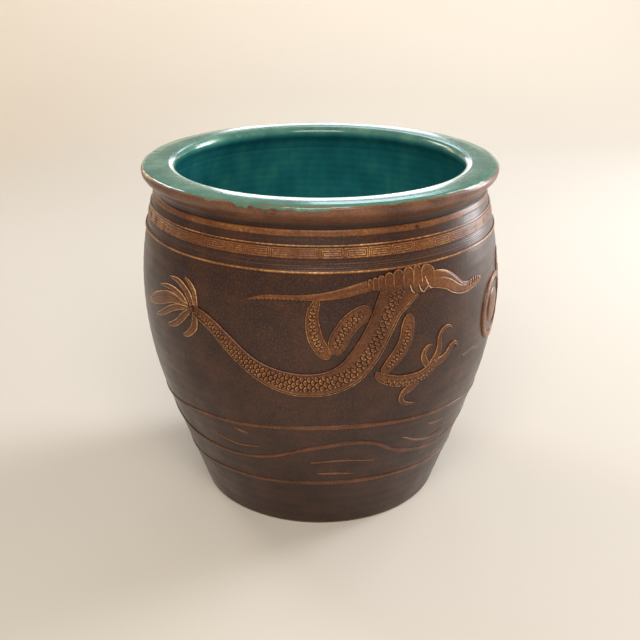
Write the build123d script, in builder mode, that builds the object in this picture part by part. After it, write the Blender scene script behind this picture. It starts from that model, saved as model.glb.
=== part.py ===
"""Martaban jar: a big stoneware storage jar with a glazed lining and two applied clay dragons.

The jar stands on the middle of its base at the origin, +Z is up and the first dragon faces -Y.
It is built as a potter builds it: a floor slab, wall rings luted together on bevelled seams, a rim
collar, glaze coats, and strips of pale clay pressed onto the wall for bands, waves and dragons.
"""

import os
from math import cos, degrees, radians, sin, sqrt, tan

from build123d import *
from numpy import interp

os.makedirs("parts", exist_ok=True)

# Wall of the jar
height = 550 * MM
base_diameter = 397 * MM
lower_seam_height = 183 * MM
lower_seam_diameter = 520 * MM
belly_height = 350 * MM
belly_diameter = 574 * MM
neck_diameter = 521 * MM
wall = 18 * MM
floor_thickness = 24 * MM
corner_bevel = 28 * MM
foot_bevel = 3 * MM
seam_slope = 20  # degrees, luted seams drop outwards
inside_runs = 3  # straight runs that the potter's rib leaves inside, below the belly and above it

# Rim collar and glaze
rim_diameter = 560 * MM
rim_depth = 39 * MM
mouth_diameter = 452 * MM
glaze = 1 * MM
lining_top_gap = 6 * MM

# Bands round the shoulder, measured down from the neck
band_proud = 1.2 * MM
neck_band_width = 9.5 * MM
fret_border_drop = 19.5 * MM
fret_border_width = 3 * MM
fret_band_drop = 23 * MM
fret_band_width = 15 * MM
cordon_drop = 56 * MM
cordon_radius = 2.2 * MM
cordon_sides = 8

# Clay strips of the waves and the dragons
key_depth = 3 * MM
strip_pitch = 18 * MM
wave_pitch = 32 * MM
wave_width = 7 * MM
wave_rise = 1.6 * MM
ripple_width = 4 * MM
ripple_rise = 1.2 * MM
dragon_girth = 40 * MM
body_rise = 3.2 * MM
limb_rise = 2.6 * MM
frond_rise = 2 * MM
crest_rise = 3.4 * MM
crest_flute = 1.4 * MM
crest_pitch = 6.5 * MM
head_rise = 3.2 * MM
pearl_diameter = 102 * MM
pearl_ring_width = 11 * MM
pearl_core_diameter = 58 * MM
pearl_rise = 3 * MM

# Sizes that follow
base_radius = base_diameter / 2
lower_seam_radius = lower_seam_diameter / 2
belly_radius = belly_diameter / 2
neck_radius = neck_diameter / 2
rim_radius = rim_diameter / 2
mouth_radius = mouth_diameter / 2
neck_height = height - rim_depth
cordon_height = neck_height - cordon_drop
reach = rim_radius + belly_radius
seam_overrun = wall + corner_bevel + rim_depth / 2


def bend_radius(end_radius, end_height):
    """Radius of the arc that leaves the belly upright and ends at a radius and height"""
    inset = belly_radius - end_radius
    rise = end_height - belly_height
    return (inset**2 + rise**2) / (2 * inset)


lower_bend = bend_radius(lower_seam_radius, lower_seam_height)
upper_bend = bend_radius(neck_radius, neck_height)
lower_slope = (lower_seam_radius - base_radius) / lower_seam_height


def outside(z, grow=0):
    """Radius of the outside face at a height, with the face moved out by grow"""
    if z < lower_seam_height:
        return base_radius + z * lower_slope + grow * sqrt(1 + lower_slope**2)
    bend = lower_bend if z < belly_height else upper_bend
    return belly_radius - bend + sqrt((bend + grow) ** 2 - (z - belly_height) ** 2)


def outside_slope(z):
    """How fast the outside radius grows with height"""
    if z < lower_seam_height:
        return lower_slope
    bend = lower_bend if z < belly_height else upper_bend
    return (belly_height - z) / sqrt(bend**2 - (z - belly_height) ** 2)


# Half sections of the jar, drawn on the XZ plane
def body_section(grow=0, bottom=0, top=neck_height):
    """Half section of the solid body, with its outside face moved out by grow"""
    low_mid = (lower_seam_height + belly_height) / 2
    high_mid = (belly_height + top) / 2
    with BuildSketch(Plane.XZ) as section:
        with BuildLine():
            Polyline(
                (0, top),
                (0, bottom),
                (outside(bottom, grow), bottom),
                (outside(lower_seam_height, grow), lower_seam_height),
            )
            ThreePointArc(
                *[(outside(z, grow), z) for z in (lower_seam_height, low_mid, belly_height)]
            )
            ThreePointArc(*[(outside(z, grow), z) for z in (belly_height, high_mid, top)])
            Line((outside(top, grow), top), (0, top))
        make_face()
    return section.sketch


def cavity_section(inset):
    """Half section of the hollow, its corner bevelled, inset from the outside and the floor"""
    extra = inset - wall
    floor = floor_thickness + extra
    heights = [floor]
    for low, high in ((lower_seam_height, belly_height), (belly_height, neck_height)):
        heights += [low + (high - low) * run / inside_runs for run in range(inside_runs)]
    heights.append(neck_height)
    side = [(outside(z, -inset), z) for z in heights]
    with BuildSketch(Plane.XZ) as section:
        with BuildLine():
            Polyline((0, neck_height), (0, floor), *side, close=True)
        make_face()
        corner = section.vertices().sort_by_distance(Vector(side[0][0], 0, floor))[0]
        chamfer(corner, corner_bevel - extra)
    return section.sketch


def seam(z, slope=seam_slope):
    """Line of a luted seam from the hollow outwards, through the outside face at a height"""
    inner_radius = outside(z) - seam_overrun
    inner = z + seam_overrun * tan(radians(slope))
    outer = z - (reach - outside(z)) * tan(radians(slope))
    return [(inner_radius, inner), (reach, outer)]


def ring_section(low_seam, high_seam):
    """Half section of the wall between two seams"""
    with BuildSketch(Plane.XZ) as section:
        add(body_section())
        add(cavity_section(wall), mode=Mode.SUBTRACT)
        with BuildLine():
            Polyline(*low_seam, *reversed(high_seam), close=True)
        make_face(mode=Mode.INTERSECT)
    return section.sketch


# Floor slab
with BuildPart() as floor_slab:
    with BuildSketch(Plane.XZ):
        add(body_section())
        with BuildLine():
            Polyline((0, 0), (reach, 0), (reach, floor_thickness), (0, floor_thickness), close=True)
        make_face(mode=Mode.INTERSECT)
    revolve(axis=Axis.Z)
    foot_edge = floor_slab.edges().filter_by(GeomType.CIRCLE).sort_by(Axis.Z)[0]
    chamfer(foot_edge, foot_bevel)

# Wall rings
floor_seam = seam(floor_thickness, slope=0)
lower_seam = seam(lower_seam_height)
cordon_seam = seam(cordon_height)
neck_seam = seam(neck_height, slope=0)

with BuildPart() as lower_wall:
    revolve(ring_section(floor_seam, lower_seam), axis=Axis.Z)

with BuildPart() as belly_wall:
    revolve(ring_section(lower_seam, cordon_seam), axis=Axis.Z)

with BuildPart() as shoulder_wall:
    revolve(ring_section(cordon_seam, neck_seam), axis=Axis.Z)

# Rim collar, its section in shares of the overhang past the neck and of the rim's depth
collar_top = height - glaze
collar_depth = collar_top - neck_height
overhang = rim_radius - glaze - neck_radius
inner_neck = outside(neck_height, -wall)
lip_overhang = inner_neck - mouth_radius - glaze
underside_shares = [(0, 0), (0.3, 0.3), (0.76, 0.55)]
nose_shares = [(0.96, 0.66), (1, 0.78), (0.98, 0.9), (0.88, 0.96)]
top_shares = [(-0.5, 1)]
lip_shares = [(0.62, 0.985), (0.92, 0.92), (1, 0.78), (0.95, 0.63), (0.8, 0.5), (0, 0)]


def collar_point(x_share, z_share):
    """Point of the collar's outer side"""
    return (neck_radius + x_share * overhang, neck_height + z_share * collar_depth)


def lip_point(x_share, z_share):
    """Point of the collar's inner side"""
    return (inner_neck - x_share * lip_overhang, neck_height + z_share * collar_depth)


def collar_section():
    """Half section of the rim collar"""
    outer = [collar_point(*shares) for shares in underside_shares + nose_shares + top_shares]
    inner = [lip_point(*shares) for shares in lip_shares]
    with BuildSketch(Plane.XZ) as section:
        with BuildLine():
            Polyline(*outer, *inner, close=True)
        make_face()
    return section.sketch


with BuildPart() as rim_collar:
    revolve(collar_section(), axis=Axis.Z)

# Glaze coats
with BuildPart() as lining_glaze:
    with BuildSketch(Plane.XZ):
        add(cavity_section(wall))
        add(cavity_section(wall + glaze), mode=Mode.SUBTRACT)
    revolve(axis=Axis.Z)

with BuildPart() as rim_glaze:
    with BuildSketch(Plane.XZ):
        coat = offset(collar_section(), amount=glaze, kind=Kind.INTERSECTION, mode=Mode.PRIVATE)
        add(coat)
        add(collar_section(), mode=Mode.SUBTRACT)
        with BuildLine():
            edge_z = collar_point(*nose_shares[1])[1]
            lip_z = neck_height + lining_top_gap
            split_radius = neck_radius - wall / 2
            Polyline(
                (0, lip_z),
                (split_radius, lip_z),
                (split_radius, edge_z),
                (reach, edge_z),
                (reach, height + rim_depth),
                (0, height + rim_depth),
                close=True,
            )
        make_face(mode=Mode.INTERSECT)
    revolve(axis=Axis.Z)


# Bands round the shoulder
def band_section(low, high, proud):
    """Half section of a flat band pressed on the wall between two heights"""
    with BuildSketch(Plane.XZ) as section:
        add(body_section(proud))
        add(body_section(), mode=Mode.SUBTRACT)
        with BuildLine():
            Polyline((0, low), (reach, low), (reach, high), (0, high), close=True)
        make_face(mode=Mode.INTERSECT)
    return section.sketch


with BuildPart() as jar_body:
    revolve(body_section(), axis=Axis.Z)

with BuildPart() as neck_band:
    revolve(band_section(neck_height - neck_band_width, neck_height, band_proud), axis=Axis.Z)

with BuildPart() as fret_border:
    border_top = neck_height - fret_border_drop
    revolve(band_section(border_top - fret_border_width, border_top, band_proud), axis=Axis.Z)

with BuildPart() as fret_band:
    fret_top = neck_height - fret_band_drop
    revolve(band_section(fret_top - fret_band_width, fret_top, band_proud), axis=Axis.Z)

with BuildPart() as shoulder_cordon:
    with BuildSketch(Plane.XZ):
        with Locations((outside(cordon_height), cordon_height)):
            RegularPolygon(cordon_radius, cordon_sides)
        add(body_section(), mode=Mode.SUBTRACT)
    revolve(axis=Axis.Z)


# Clay strips, laid along routes drawn on the unrolled wall
def unrolled(turn, height_share):
    """Point of the unrolled wall at an angle round the jar and a share of its height"""
    return (radians(turn) * belly_radius, height_share * height)


def on_wall(place, heading):
    """Plane square to a route, standing on the outside face"""
    turn = place.X / belly_radius
    radius = outside(place.Y)
    slope = outside_slope(place.Y)
    outward = Vector(sin(turn), -cos(turn), 0)
    sideways = Vector(cos(turn), sin(turn), 0)
    upward = Vector(0, 0, 1) + outward * slope
    along = sideways * (heading.X * radius / belly_radius) + upward * heading.Y
    normal = outward - Vector(0, 0, 1) * slope
    foot = outward * radius + Vector(0, 0, place.Y)
    return Plane(origin=foot, x_dir=normal.cross(along), z_dir=along)


dome_shares = [(-0.84, 0.7), (-0.4, 1), (0.4, 1), (0.84, 0.7)]


def strip_on(route, stops, widths, rise, pitch, flute=0):
    """Domed strip of clay along a route, its back sunk under the outside face"""
    count = max(2, round(route.length / pitch))
    sections = []
    for step in range(count + 1):
        half = interp(step / count, stops, widths) / 2
        top = rise - flute * (step % 2)
        with BuildSketch(on_wall(route @ (step / count), route % (step / count))) as section:
            with BuildLine():
                dome = [(x * half, y * top) for x, y in dome_shares]
                Polyline((-half, -key_depth), *dome, (half, -key_depth), close=True)
            make_face()
        sections.append(section.sketch)
    with BuildPart() as strip:
        loft(sections, ruled=True)
    return strip.part


def strip(places, rise, girth=dragon_girth, pitch=strip_pitch, flute=0):
    """Clay strip through places: angle round the jar, share of its height, width share of girth"""
    points = [Vector(*unrolled(turn, share)) for turn, share, _ in places]
    with BuildLine() as route:
        Spline(*points)
    runs = [0] + [(b - a).length for a, b in zip(points, points[1:])]
    total = sum(runs)
    stops = [sum(runs[: index + 1]) / total for index in range(len(runs))]
    widths = [share * girth for _, _, share in places]
    return strip_on(route.edge(), stops, widths, rise, pitch, flute)


def seated(pieces, under=()):
    """Pieces joined as one clay relief, cut back to the wall and to the pieces that overlie it"""
    with BuildPart() as relief:
        for piece in pieces:
            add(piece)
        add(jar_body.part, mode=Mode.SUBTRACT)
        for cover in under:
            add(cover, mode=Mode.SUBTRACT)
    return relief.part


# Waves: half a turn of each, level where it meets its other half
upper_wave_shares = [
    (-90, 0.342), (-58, 0.331), (-44, 0.352), (-26, 0.374), (-6, 0.387),
    (19, 0.395), (34, 0.388), (57, 0.36), (90, 0.342),
]
middle_wave_shares = [
    (-90, 0.295), (-72, 0.285), (-52, 0.235), (-35, 0.241), (-17, 0.278), (-3, 0.318),
    (10, 0.33), (25, 0.287), (44, 0.23), (58, 0.235), (76, 0.28), (90, 0.295),
]
lower_wave_shares = [
    (-90, 0.168), (-70, 0.152), (-44, 0.163), (-20, 0.168), (0, 0.174), (20, 0.18),
    (45, 0.164), (68, 0.156), (90, 0.168),
]


def wave(half_turn_shares):
    """Raised line round the jar, made of two like halves"""
    points = [unrolled(turn, share) for turn, share in half_turn_shares]
    with BuildLine() as route:
        Spline(*points, tangents=[(1, 0), (1, 0)])
    widths = (wave_width, wave_width)
    half_turn = seated([strip_on(route.edge(), (0, 1), widths, wave_rise, wave_pitch)])
    with BuildPart() as ring:
        with PolarLocations(radius=0, count=2):
            add(half_turn)
    return ring.part


waves = {
    "upper_wave": wave(upper_wave_shares),
    "middle_wave": wave(middle_wave_shares),
    "lower_wave": wave(lower_wave_shares),
}

# Ripple strokes between the waves: start, middle and end of each, as places
ripple_shares = [
    [(-31, 0.345), (-27, 0.342), (-23, 0.342)],
    [(-41, 0.295), (-32, 0.278), (-22, 0.274)],
    [(-4, 0.235), (8, 0.243), (18, 0.24)],
    [(-1, 0.203), (5, 0.206), (12, 0.206)],
    [(30, 0.325), (37, 0.312), (45, 0.318)],
]
ripple_width_shares = (0.4, 1, 0.4)


def ripples():
    """Short strokes of clay between the waves"""
    strokes = []
    for stroke in ripple_shares:
        places = [(*place, share) for place, share in zip(stroke, ripple_width_shares)]
        strokes.append(strip(places, ripple_rise, girth=ripple_width))
    return seated(strokes)


with BuildPart() as ripple_strokes:
    with PolarLocations(radius=0, count=2):
        add(ripples())

# Dragon: places of each strip as angle, share of the height and width share of the girth
spine_shares = [
    (-37.8, 0.691, 0.48), (-32.5, 0.663, 0.5), (-27.8, 0.63, 0.58), (-20, 0.572, 0.68),
    (-14.5, 0.545, 0.82), (-9, 0.53, 0.93), (-2.7, 0.526, 0.97), (3.1, 0.535, 1),
    (8.3, 0.56, 1.06), (11.8, 0.597, 1.07), (14.4, 0.633, 1.08), (16.5, 0.667, 1.08),
    (18.5, 0.697, 1.12), (20.8, 0.727, 1.28), (23.1, 0.753, 1.52), (24.2, 0.779, 1.74),
]
thigh_shares = [
    (14.6, 0.724, 0.34), (13.3, 0.724, 0.6), (11.8, 0.72, 0.66), (9.7, 0.709, 0.7),
    (7.9, 0.694, 0.72), (6.5, 0.676, 0.72), (5.3, 0.657, 0.74), (4.5, 0.637, 0.66), (3.6, 0.614, 0.44),
]
shin_shares = [
    (3.2, 0.61, 0.34), (1.3, 0.621, 0.5), (0, 0.637, 0.54), (-1.2, 0.659, 0.56), (-1.9, 0.685, 0.54),
    (-2.2, 0.711, 0.48), (-1.9, 0.733, 0.42), (-1.2, 0.75, 0.33), (-0.7, 0.764, 0.23),
]
right_leg_shares = [
    (26, 0.708, 0.16), (26, 0.695, 0.38), (25.9, 0.675, 0.54), (25.6, 0.652, 0.56),
    (25, 0.628, 0.57), (23.7, 0.607, 0.57), (21.9, 0.587, 0.54), (20.4, 0.571, 0.46), (19.3, 0.558, 0.3),
]
forearm_shares = [
    (16.1, 0.556, 0.22), (17.4, 0.541, 0.36), (19.9, 0.529, 0.45), (22.9, 0.52, 0.48),
    (26.6, 0.517, 0.49), (30.4, 0.52, 0.47), (32.8, 0.528, 0.47), (35, 0.543, 0.42),
]
claw_shares = [
    [(33.4, 0.54, 0.24), (31.6, 0.572, 0.22), (31.7, 0.596, 0.18), (33.9, 0.609, 0.06)],
    [(35.2, 0.546, 0.34), (36.1, 0.572, 0.32), (36.3, 0.596, 0.23), (36.8, 0.62, 0.2), (38.6, 0.638, 0.13),
     (41.2, 0.644, 0.05)],
    [(35.6, 0.545, 0.3), (39.2, 0.559, 0.32), (41.1, 0.572, 0.26), (43, 0.583, 0.2), (44.8, 0.586, 0.08)],
    [(28.6, 0.512, 0.4), (26.5, 0.487, 0.36), (25.3, 0.467, 0.27), (26, 0.451, 0.2), (28.1, 0.441, 0.15),
     (30.5, 0.434, 0.06)],
]
whisker_shares = [
    (-20.6, 0.751, 0.05), (-16, 0.761, 0.18), (-11, 0.764, 0.18), (-5.3, 0.765, 0.22),
    (0.2, 0.768, 0.28), (5.8, 0.775, 0.36), (11.4, 0.786, 0.4), (15.5, 0.793, 0.44),
]
crest_shares = [
    (13.4, 0.792, 0.4), (17.5, 0.794, 0.58), (21.1, 0.795, 0.76), (24.8, 0.794, 0.9),
    (28.7, 0.793, 0.94), (32.2, 0.791, 0.9), (35, 0.783, 0.6),
]
head_shares = [
    (34.3, 0.781, 0.5), (37.5, 0.775, 0.64), (40.2, 0.767, 0.67), (42.8, 0.751, 0.64),
    (45.6, 0.737, 0.5), (49.2, 0.732, 0.4), (52.9, 0.736, 0.4), (57.4, 0.738, 0.14),
]
plume_shares = [
    [(-38.2, 0.695, 0.16), (-38.4, 0.719, 0.18), (-39.3, 0.742, 0.2), (-41, 0.759, 0.17),
     (-43.3, 0.77, 0.07)],
    [(-39.8, 0.7, 0.24), (-41.2, 0.725, 0.28), (-43.2, 0.741, 0.26), (-45.7, 0.753, 0.22),
     (-50.6, 0.756, 0.06)],
    [(-42, 0.7, 0.2), (-44.8, 0.719, 0.26), (-47.5, 0.729, 0.24), (-50.8, 0.73, 0.18), (-56, 0.718, 0.07)],
    [(-41.5, 0.696, 0.14), (-46.7, 0.701, 0.33), (-50, 0.699, 0.46), (-54.5, 0.686, 0.53),
     (-59.5, 0.669, 0.46), (-64.3, 0.649, 0.12)],
    [(-41.5, 0.691, 0.14), (-45.8, 0.683, 0.26), (-49.5, 0.669, 0.27), (-53.2, 0.65, 0.27),
     (-56.8, 0.633, 0.18), (-59.3, 0.626, 0.07)],
    [(-40.5, 0.686, 0.16), (-43.8, 0.661, 0.31), (-46, 0.642, 0.28), (-48.7, 0.627, 0.25),
     (-51.6, 0.617, 0.12)],
    [(-38.9, 0.684, 0.18), (-38.8, 0.66, 0.3), (-39.1, 0.644, 0.32), (-40.5, 0.627, 0.28),
     (-42.7, 0.612, 0.2), (-44.4, 0.608, 0.08)],
]


pearl_place_shares = (69.5, 0.627)
flame_turns = (-70, -15, 40, 95)
flame_shares = [(0.9, 0), (1.15, 12), (1.4, 16), (1.75, 6)]
flame_width_shares = (0.34, 0.3, 0.18, 0.05)


def pearl_ring(centre):
    """Raised ring round the pearl, as two half rings"""
    ring_radius = (pearl_diameter - pearl_ring_width) / 2
    widths = (pearl_ring_width, pearl_ring_width)
    halves = []
    for start in (0, 180):
        with BuildLine() as route:
            CenterArc(centre, ring_radius, start, 180)
        halves.append(strip_on(route.edge(), (0, 1), widths, pearl_rise, strip_pitch))
    return halves


def pearl_flame(centre, turn):
    """Flame that licks outwards from the pearl's ring"""
    places = []
    for (out_share, sweep), width_share in zip(flame_shares, flame_width_shares):
        angle = radians(turn + sweep)
        x = centre[0] + out_share * pearl_diameter / 2 * cos(angle)
        z = centre[1] + out_share * pearl_diameter / 2 * sin(angle)
        places.append((degrees(x / belly_radius), z / height, width_share))
    return strip(places, frond_rise)


def pearl_core(centre):
    """Low dome of the pearl itself"""
    ball_radius = (pearl_core_diameter**2 / 4 + pearl_rise**2) / (2 * pearl_rise)
    plane = on_wall(Vector(*centre), Vector(1, 0))
    with BuildPart() as core:
        with Locations(plane.origin - plane.y_dir * (ball_radius - pearl_rise)):
            Sphere(ball_radius)
        with BuildSketch(Plane(plane.origin, x_dir=plane.x_dir, z_dir=plane.y_dir)):
            Circle(pearl_core_diameter / 2)
        extrude(amount=2 * pearl_rise, both=True, mode=Mode.INTERSECT)
    return core.part


crest = seated(
    [strip(crest_shares, crest_rise, pitch=crest_pitch, flute=crest_flute)],
    under=[shoulder_cordon.part],
)
whisker = seated([strip(whisker_shares, frond_rise)], under=[crest])
head = seated([strip(head_shares, head_rise)], under=[crest])
body = seated([strip(spine_shares, body_rise)], under=[crest, whisker])
left_leg = seated(
    [strip(thigh_shares, limb_rise), strip(shin_shares, limb_rise)], under=[body, whisker]
)
right_leg = seated([strip(right_leg_shares, limb_rise)], under=[body])
claws = [strip(places, frond_rise) for places in claw_shares]
forearm = seated([strip(forearm_shares, limb_rise), *claws], under=[body, right_leg])
plume = seated([strip(places, frond_rise) for places in plume_shares], under=[body])
pearl_centre = unrolled(*pearl_place_shares)
pearl = seated(
    [
        *pearl_ring(pearl_centre),
        *[pearl_flame(pearl_centre, turn) for turn in flame_turns],
        pearl_core(pearl_centre),
    ]
)

dragon = {
    "dragon_crest": crest,
    "dragon_whisker": whisker,
    "dragon_head": head,
    "dragon_body": body,
    "dragon_left_leg": left_leg,
    "dragon_right_leg": right_leg,
    "dragon_forearm": forearm,
    "dragon_tail_plume": plume,
    "flaming_pearl": pearl,
}

# Every piece, the second dragon half a turn round from the first
pieces = {
    "floor_slab": floor_slab.part,
    "lower_wall": lower_wall.part,
    "belly_wall": belly_wall.part,
    "shoulder_wall": shoulder_wall.part,
    "rim_collar": rim_collar.part,
    "lining_glaze": lining_glaze.part,
    "rim_glaze": rim_glaze.part,
    "neck_band": neck_band.part,
    "fret_border": fret_border.part,
    "fret_band": fret_band.part,
    "shoulder_cordon": shoulder_cordon.part,
    "ripple_strokes": ripple_strokes.part,
    **waves,
}
for side, turn in (("front", 0), ("back", 180)):
    for name, piece in dragon.items():
        with BuildPart() as copy:
            add(piece, rotation=(0, 0, turn))
        pieces[f"{side}_{name}"] = copy.part

for name, piece in pieces.items():
    piece.label = name
    export_step(piece, f"parts/{name}.step")
    volumes = [round(solid.volume) for solid in piece.solids()]
    print(name, volumes)
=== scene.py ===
# %% [markdown]
# # A martaban jar
# A martaban is a big stoneware storage jar. This one was thrown and luted together from rings of
# clay, then a potter pressed strips of pale clay onto it: bands, waves and two dragons. It was
# glazed dark brown outside and teal inside, and fired once. The lesson dresses each piece of the
# jar with the surface that the potter's hands, the glaze and the kiln gave it.
#
# The solids that carry the jar come first. Every piece below stands where one of them stands.

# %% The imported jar
from math import cos, degrees, pi, radians, sin

import bmesh
import bpy
import numpy as np
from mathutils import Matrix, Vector


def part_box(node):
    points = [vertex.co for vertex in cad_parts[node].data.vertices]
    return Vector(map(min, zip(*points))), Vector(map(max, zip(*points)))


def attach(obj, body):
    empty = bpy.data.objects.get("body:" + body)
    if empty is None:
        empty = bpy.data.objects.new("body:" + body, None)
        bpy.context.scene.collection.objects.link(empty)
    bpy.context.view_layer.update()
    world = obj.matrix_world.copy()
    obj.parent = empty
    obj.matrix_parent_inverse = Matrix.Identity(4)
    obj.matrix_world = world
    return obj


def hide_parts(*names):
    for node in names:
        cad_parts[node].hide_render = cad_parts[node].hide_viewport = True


MM = 0.001
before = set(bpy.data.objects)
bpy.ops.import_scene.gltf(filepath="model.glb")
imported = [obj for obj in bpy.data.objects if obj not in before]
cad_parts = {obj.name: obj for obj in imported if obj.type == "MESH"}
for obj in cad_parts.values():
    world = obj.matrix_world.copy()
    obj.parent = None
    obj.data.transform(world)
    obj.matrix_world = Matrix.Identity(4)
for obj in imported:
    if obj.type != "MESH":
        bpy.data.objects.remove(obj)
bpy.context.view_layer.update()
SPARSE = 1
print("solid nodes:", len(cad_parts))

# %% [markdown]
# ## The camera
# The photographer stood about a metre and a half away and looked down on the rim by 23 degrees.
# A real camera position, not a guess by eye, keeps every curve of the rim and the belly in
# proportion, so it is set before anything is modelled.

# %% Camera
CAMERA_PLACE = (0, -1.505, 0.903)
CAMERA_TILT = 67.21  # degrees up from straight down
LENS = 54.5  # mm, on a sensor 36 mm wide

scene = bpy.context.scene
camera_data = bpy.data.cameras.new("studio_camera")
camera_data.lens = LENS
camera = bpy.data.objects.new("studio_camera", camera_data)
camera.location = CAMERA_PLACE
camera.rotation_euler = (radians(CAMERA_TILT), 0, 0)
scene.collection.objects.link(camera)
scene.camera = camera
scene.view_settings.view_transform = "Standard"
print("camera looks down by", 90 - CAMERA_TILT, "degrees")

# %% [markdown]
# ## The wall's curve
# A thrown wall is a surface of revolution, so one formula gives its radius at every height: a
# straight cone from the foot to the lower seam, then two arcs that meet upright at the belly.
# Everything that is pressed onto the wall asks the same formula where the wall is, so nothing
# floats and nothing sinks.


# %% Sizes of the wall
def heights(node):
    """Lowest and highest point of a solid"""
    low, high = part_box(node)
    return low.z, high.z


HEIGHT = heights("rim_glaze")[1]
NECK_HEIGHT = heights("shoulder_wall")[1]
SLAB_TOP = heights("floor_slab")[1]
BELLY_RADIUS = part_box("belly_wall")[1].x
BASE_RADIUS = 198.5 * MM
SEAM_HEIGHT = 183 * MM
SEAM_RADIUS = 260 * MM
BELLY_HEIGHT = 350 * MM
NECK_RADIUS = 260.5 * MM
WALL = 18 * MM
GLAZE = 1 * MM
print("height", round(HEIGHT, 4), "belly", round(BELLY_RADIUS, 4), "neck at", round(NECK_HEIGHT, 4))


# %% Radius and slope of the wall
def bend_radius(end_radius, end_height):
    """Radius of the arc that leaves the belly upright and ends at a radius and height"""
    inset, rise = BELLY_RADIUS - end_radius, end_height - BELLY_HEIGHT
    return (inset**2 + rise**2) / (2 * inset)


LOWER_BEND = bend_radius(SEAM_RADIUS, SEAM_HEIGHT)
UPPER_BEND = bend_radius(NECK_RADIUS, NECK_HEIGHT)
LOWER_SLOPE = (SEAM_RADIUS - BASE_RADIUS) / SEAM_HEIGHT


def wall_radius(z):
    """Radius of the true outside face at a height"""
    cone = BASE_RADIUS + z * LOWER_SLOPE
    bend = np.where(z < BELLY_HEIGHT, LOWER_BEND, UPPER_BEND)
    arc = BELLY_RADIUS - bend + np.sqrt(bend**2 - (z - BELLY_HEIGHT) ** 2)
    return np.where(z < SEAM_HEIGHT, cone, arc)


def wall_slope(z):
    """How fast the radius grows with height"""
    bend = np.where(z < BELLY_HEIGHT, LOWER_BEND, UPPER_BEND)
    arc = (BELLY_HEIGHT - z) / np.sqrt(bend**2 - (z - BELLY_HEIGHT) ** 2)
    return np.where(z < SEAM_HEIGHT, LOWER_SLOPE, arc)


# %% [markdown]
# Ridges, grooves and fades all come from a few small curves: a smooth step, a round ridge, a
# wave between 0 and 1, and the domed section of a pressed strip.


# %% Curves that shape the clay
def step_up(value, low, high):
    """Smooth step from 0 at low to 1 at high"""
    share = np.clip((value - low) / (high - low), 0, 1)
    return share * share * (3 - 2 * share)


def ridge(distance, width):
    """Round ridge: 1 on the line, falling off over its width"""
    return np.exp(-((distance / width) ** 2))


def swell(angle):
    """Wave between 0 and 1"""
    return 0.5 + 0.5 * np.sin(angle)


def domed(across, power):
    """Section of a pressed strip: 1 in the middle, 0 at both edges"""
    return np.sqrt(np.maximum(0, 1 - np.abs(across) ** power))


def turn_from(turn, place):
    """Angle from a place on the jar, at most half a turn either way"""
    return (turn - place + pi) % (2 * pi) - pi


# %% [markdown]
# No thrown jar is truly round. The wheel leaves soft finger rings, drying pulls the jar a little
# oval, and handling leaves shallow dents. All three only take clay away here, so the jar never
# grows past its solids. They are functions of the angle and the height, so that the strips of
# clay follow them too.

# %% An uneven, hand-thrown skin
FINGER_PITCH = 19 * MM
FINGER_DEPTH = 0.22 * MM
OVAL_DEPTH = 0.7 * MM
DENT_DEPTH = 0.55 * MM


def uneven(turn, z):
    """How far the thrown wall falls short of the true one"""
    oval = 0.5 + 0.5 * np.cos(2 * turn + 0.6)
    fingers = swell(2 * pi * z / FINGER_PITCH + 0.9 * np.sin(turn) + 0.6 * np.sin(2 * turn))
    level = z / HEIGHT
    dents = 0.5 + 0.5 * np.sin(3 * turn + 7 * level + 2) * np.sin(5 * turn - 9 * level)
    return OVAL_DEPTH * oval + FINGER_DEPTH * fingers + DENT_DEPTH * dents


def around(turn, radius, z):
    """Points at an angle round the jar, 0 at the front"""
    return np.stack(np.broadcast_arrays(radius * np.sin(turn), -radius * np.cos(turn), z), -1)


def on_skin(turn, z, lift=0.0):
    """Points on the thrown wall, lifted square to it"""
    slope = wall_slope(z)
    lean = np.sqrt(1 + slope**2)
    return around(turn, wall_radius(z) - uneven(turn, z) + lift / lean, z - lift * slope / lean)


print("deepest unevenness", (OVAL_DEPTH + FINGER_DEPTH + DENT_DEPTH) / MM, "mm")

# %% [markdown]
# ## From a grid of points to a closed piece of clay
# Rings, bands and strips are all bent grids: one direction runs round the jar or along a strip,
# the other runs round the section. Building the mesh from whole arrays is quick and gives full
# control of every ridge, which a modifier stack would not. Each point also carries a tone, from
# 0 in a groove to 1 on a ridge, because glaze runs off ridges and pools in grooves. In places
# the tone also carries painted shade and painted highlights.

# %% Mesh of one or more shells
CREASE = radians(50)
PLAIN = 0.5  # tone of glaze that is neither thick nor worn


def shell(face, back, tone, back_tone=0.2, ring=True):
    """Closed shell: its grid of points, their tones, and whether its rows run on in a ring"""
    tone = np.broadcast_to(tone, face.shape[:2])
    tones = np.concatenate([tone, np.full(back.shape[:2], back_tone)], axis=1)
    return np.concatenate([face, back], axis=1), tones, ring


def shell_faces(grid, ring, first):
    """Faces of one shell, turned so that they look outwards"""
    rows, columns = grid.shape[:2]
    here = np.arange(rows * columns).reshape(rows, columns)
    right = np.roll(here, -1, axis=1)
    quads = np.stack([here, right, np.roll(right, -1, axis=0), np.roll(here, -1, axis=0)], -1)
    caps = []
    if not ring:
        quads = quads[:-1]
        caps = [here[0][::-1].tolist(), here[-1].tolist()]
    quads = quads.reshape(-1, 4)
    a, b, c, d = (grid.reshape(-1, 3)[quads[:, k]] for k in range(4))
    volume = np.einsum("ij,ij->i", a, np.cross(b, c) + np.cross(c, d)).sum()
    faces = (quads + first).tolist() + [[k + first for k in cap] for cap in caps]
    return faces if volume > 0 else [face[::-1] for face in faces]


def weld_poles(mesh):
    """Join the points that meet on the jar's axis"""
    work = bmesh.new()
    work.from_mesh(mesh)
    bmesh.ops.remove_doubles(work, verts=work.verts, dist=1e-6)
    work.to_mesh(mesh)
    work.free()


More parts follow.
